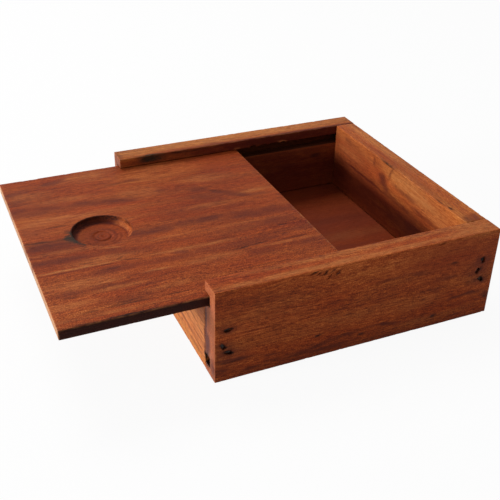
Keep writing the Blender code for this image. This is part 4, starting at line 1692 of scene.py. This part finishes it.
def torn_chips(face: float) -> tuple[Gouge, ...]:
    """Small chips that the plane has torn out of the near wall, just under its top edge.

    Args:
        face: The wall's outer face, as its place along X.

    Returns:
        The chips.
    """
    low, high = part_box("right_side_wall")
    deep = 0.35
    places = ((39.6, 0.9, 1.5, 0.35, 12), (42.3, 1.6, 0.8, 0.26, 38), (45.0, 1.9, 1.1, 0.30, 38),
              (47.5, 3.3, 1.0, 0.28, 40), (50.2, 2.5, 1.2, 0.30, 40), (46.6, 4.6, 0.6, 0.24, 40),
              (98.0, 0.9, 1.8, 0.30, 4))
    chips = []
    for number, (along, down, long, wide, slope) in enumerate(places):
        lengthwise = (0.0, math.cos(math.radians(slope)), math.sin(math.radians(slope)))
        chips.append(Gouge((face, low.y + along * MM, high.z - down * MM), (1.0, 0.0, 0.0), lengthwise,
                           long * MM, wide * MM, deep * MM, seed=70 + number))
    return tuple(chips)


def wall_grooves(outer_is_zero: bool) -> tuple[Groove, ...]:
    """The dark insides of a side wall's two grooves, dirt and painted shade.

    Args:
        outer_is_zero: Whether w starts at the wall's outer face, not at its inner one.

    Returns:
        The lid's groove and the panel's.
    """
    low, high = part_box("right_side_wall")
    wall = (high.x - low.x) / MM
    top = high.z - low.z
    lid = (JOINERY.lip, JOINERY.lip + JOINERY.lid_groove_height, JOINERY.lid_groove_depth)
    panel_low = top - JOINERY.panel_rise
    panel = (panel_low - JOINERY.panel_groove_height, panel_low, JOINERY.panel_groove_depth)
    grooves = []
    for above, below, depth in (lid, panel):
        mouth, floor = (wall, wall - depth / MM) if outer_is_zero else (0.0, depth / MM)
        grooves.append(Groove((above / MM, below / MM), mouth, floor))
    return tuple(grooves)


def boards() -> list[Board]:
    """The box's boards, each with its own finish."""
    east, north = (1.0, 0.0, 0.0), (0.0, 1.0, 0.0)
    west, down = (-1.0, 0.0, 0.0), (0.0, 0.0, -1.0)
    right_face, left_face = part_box("right_side_wall")[1].x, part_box("left_side_wall")[0].x
    nails = Nails()
    right_axes = Axes.of("right_side_wall", north, down, west)
    left_axes = Axes.of("left_side_wall", north, down, west)
    lid = OiledWood(
        "lid_wood", Axes.of("sliding_lid", north, east, down), seed=4.0, pith=(46.0, 90.0), tone=1.04,
        zones=0.10, bands=0.22, grit_slope=1.8, end_tint=(0.43, 0.235, 0.12), end_share=0.9,
        # The lid's narrow sides go dark, partly a stain and partly painted shade.
        side_stain_and_shade_share=0.94, mark_share=0.95, marks=lid_marks(), arcs=lid_arcs())
    right = OiledWood(
        "right_side_wood", right_axes, seed=23.0, pith=(26.0, -60.0), tone=1.20, warmth=0.04, ripple=0.12,
        grit=0.26, end_tint=(0.385, 0.126, 0.056), end_share=0.70, mark_share=1.2, edge_wear_and_highlight=0.14,
        grooves=wall_grooves(True), marks=right_wall_marks() + nails.stains("right", right_axes, right_face))
    left = OiledWood(
        "left_side_wood", left_axes, seed=31.0, pith=(20.0, 60.0), tone=1.28, warmth=0.42,
        end_tint=(0.36, 0.125, 0.065), groove_dirt_and_shade_share=0.80, grooves=wall_grooves(False),
        marks=left_wall_marks() + nails.stains("left", left_axes, left_face))
    front = OiledWood(
        "front_end_wood", Axes.of("front_end_wall", east, down, north), seed=43.0, pith=(10.0, -70.0),
        tone=1.45, warmth=0.35, pores=0.9, marks=front_wall_marks())
    back = OiledWood(
        "back_end_wood", Axes.of("back_end_wall", east, down, north), seed=57.0, pith=(5.0, 55.0),
        tone=1.48, warmth=0.28, edge_wear_and_highlight=0.06, marks=back_wall_marks())
    panel = OiledWood(
        "bottom_panel_wood", Axes.of("bottom_panel", north, east, down), seed=71.0, pith=(50.0, 80.0),
        tone=0.90, warmth=-0.08, flecks=0.08, pores=0.3, marks=panel_marks())
    return [
        SideWall("right_side_wall", "box", right, relief_seed=3, side=1,
                 gouges=nails.pockets("right", right_face) + torn_chips(right_face)),
        SideWall("left_side_wall", "box", left, relief_seed=5, side=-1, chipped=(0.026, 0.055),
                 gouges=nails.pockets("left", left_face)),
        EndWall("front_end_wall", "box", front, relief_seed=7, inward=1),
        EndWall("back_end_wall", "box", back, relief_seed=9, inward=-1),
        BottomPanel("bottom_panel", "box", panel, ease=0.00035, relief_seed=11),
        SlidingLid("sliding_lid", "lid", lid, ease=0.00035, spacing=0.0012, relief_seed=13),
    ]


def main() -> None:
    """Builds and dresses every piece, then the studio and the camera."""
    logging.basicConfig(level=logging.INFO, format="%(message)s")
    for board in boards():
        piece = board.build()
        LOG.info("%s: %d faces, rides on %s", piece.name, len(piece.data.polygons), board.body)
    nails = Nails()
    nails.dress()
    LOG.info("nails: %d, dressed in %s", len(nails.names), nails.finish.name)
    Studio().build()
    Viewpoint().build()
    bpy.context.scene.view_settings.view_transform = "Standard"


if __name__ == "__main__":
    main()
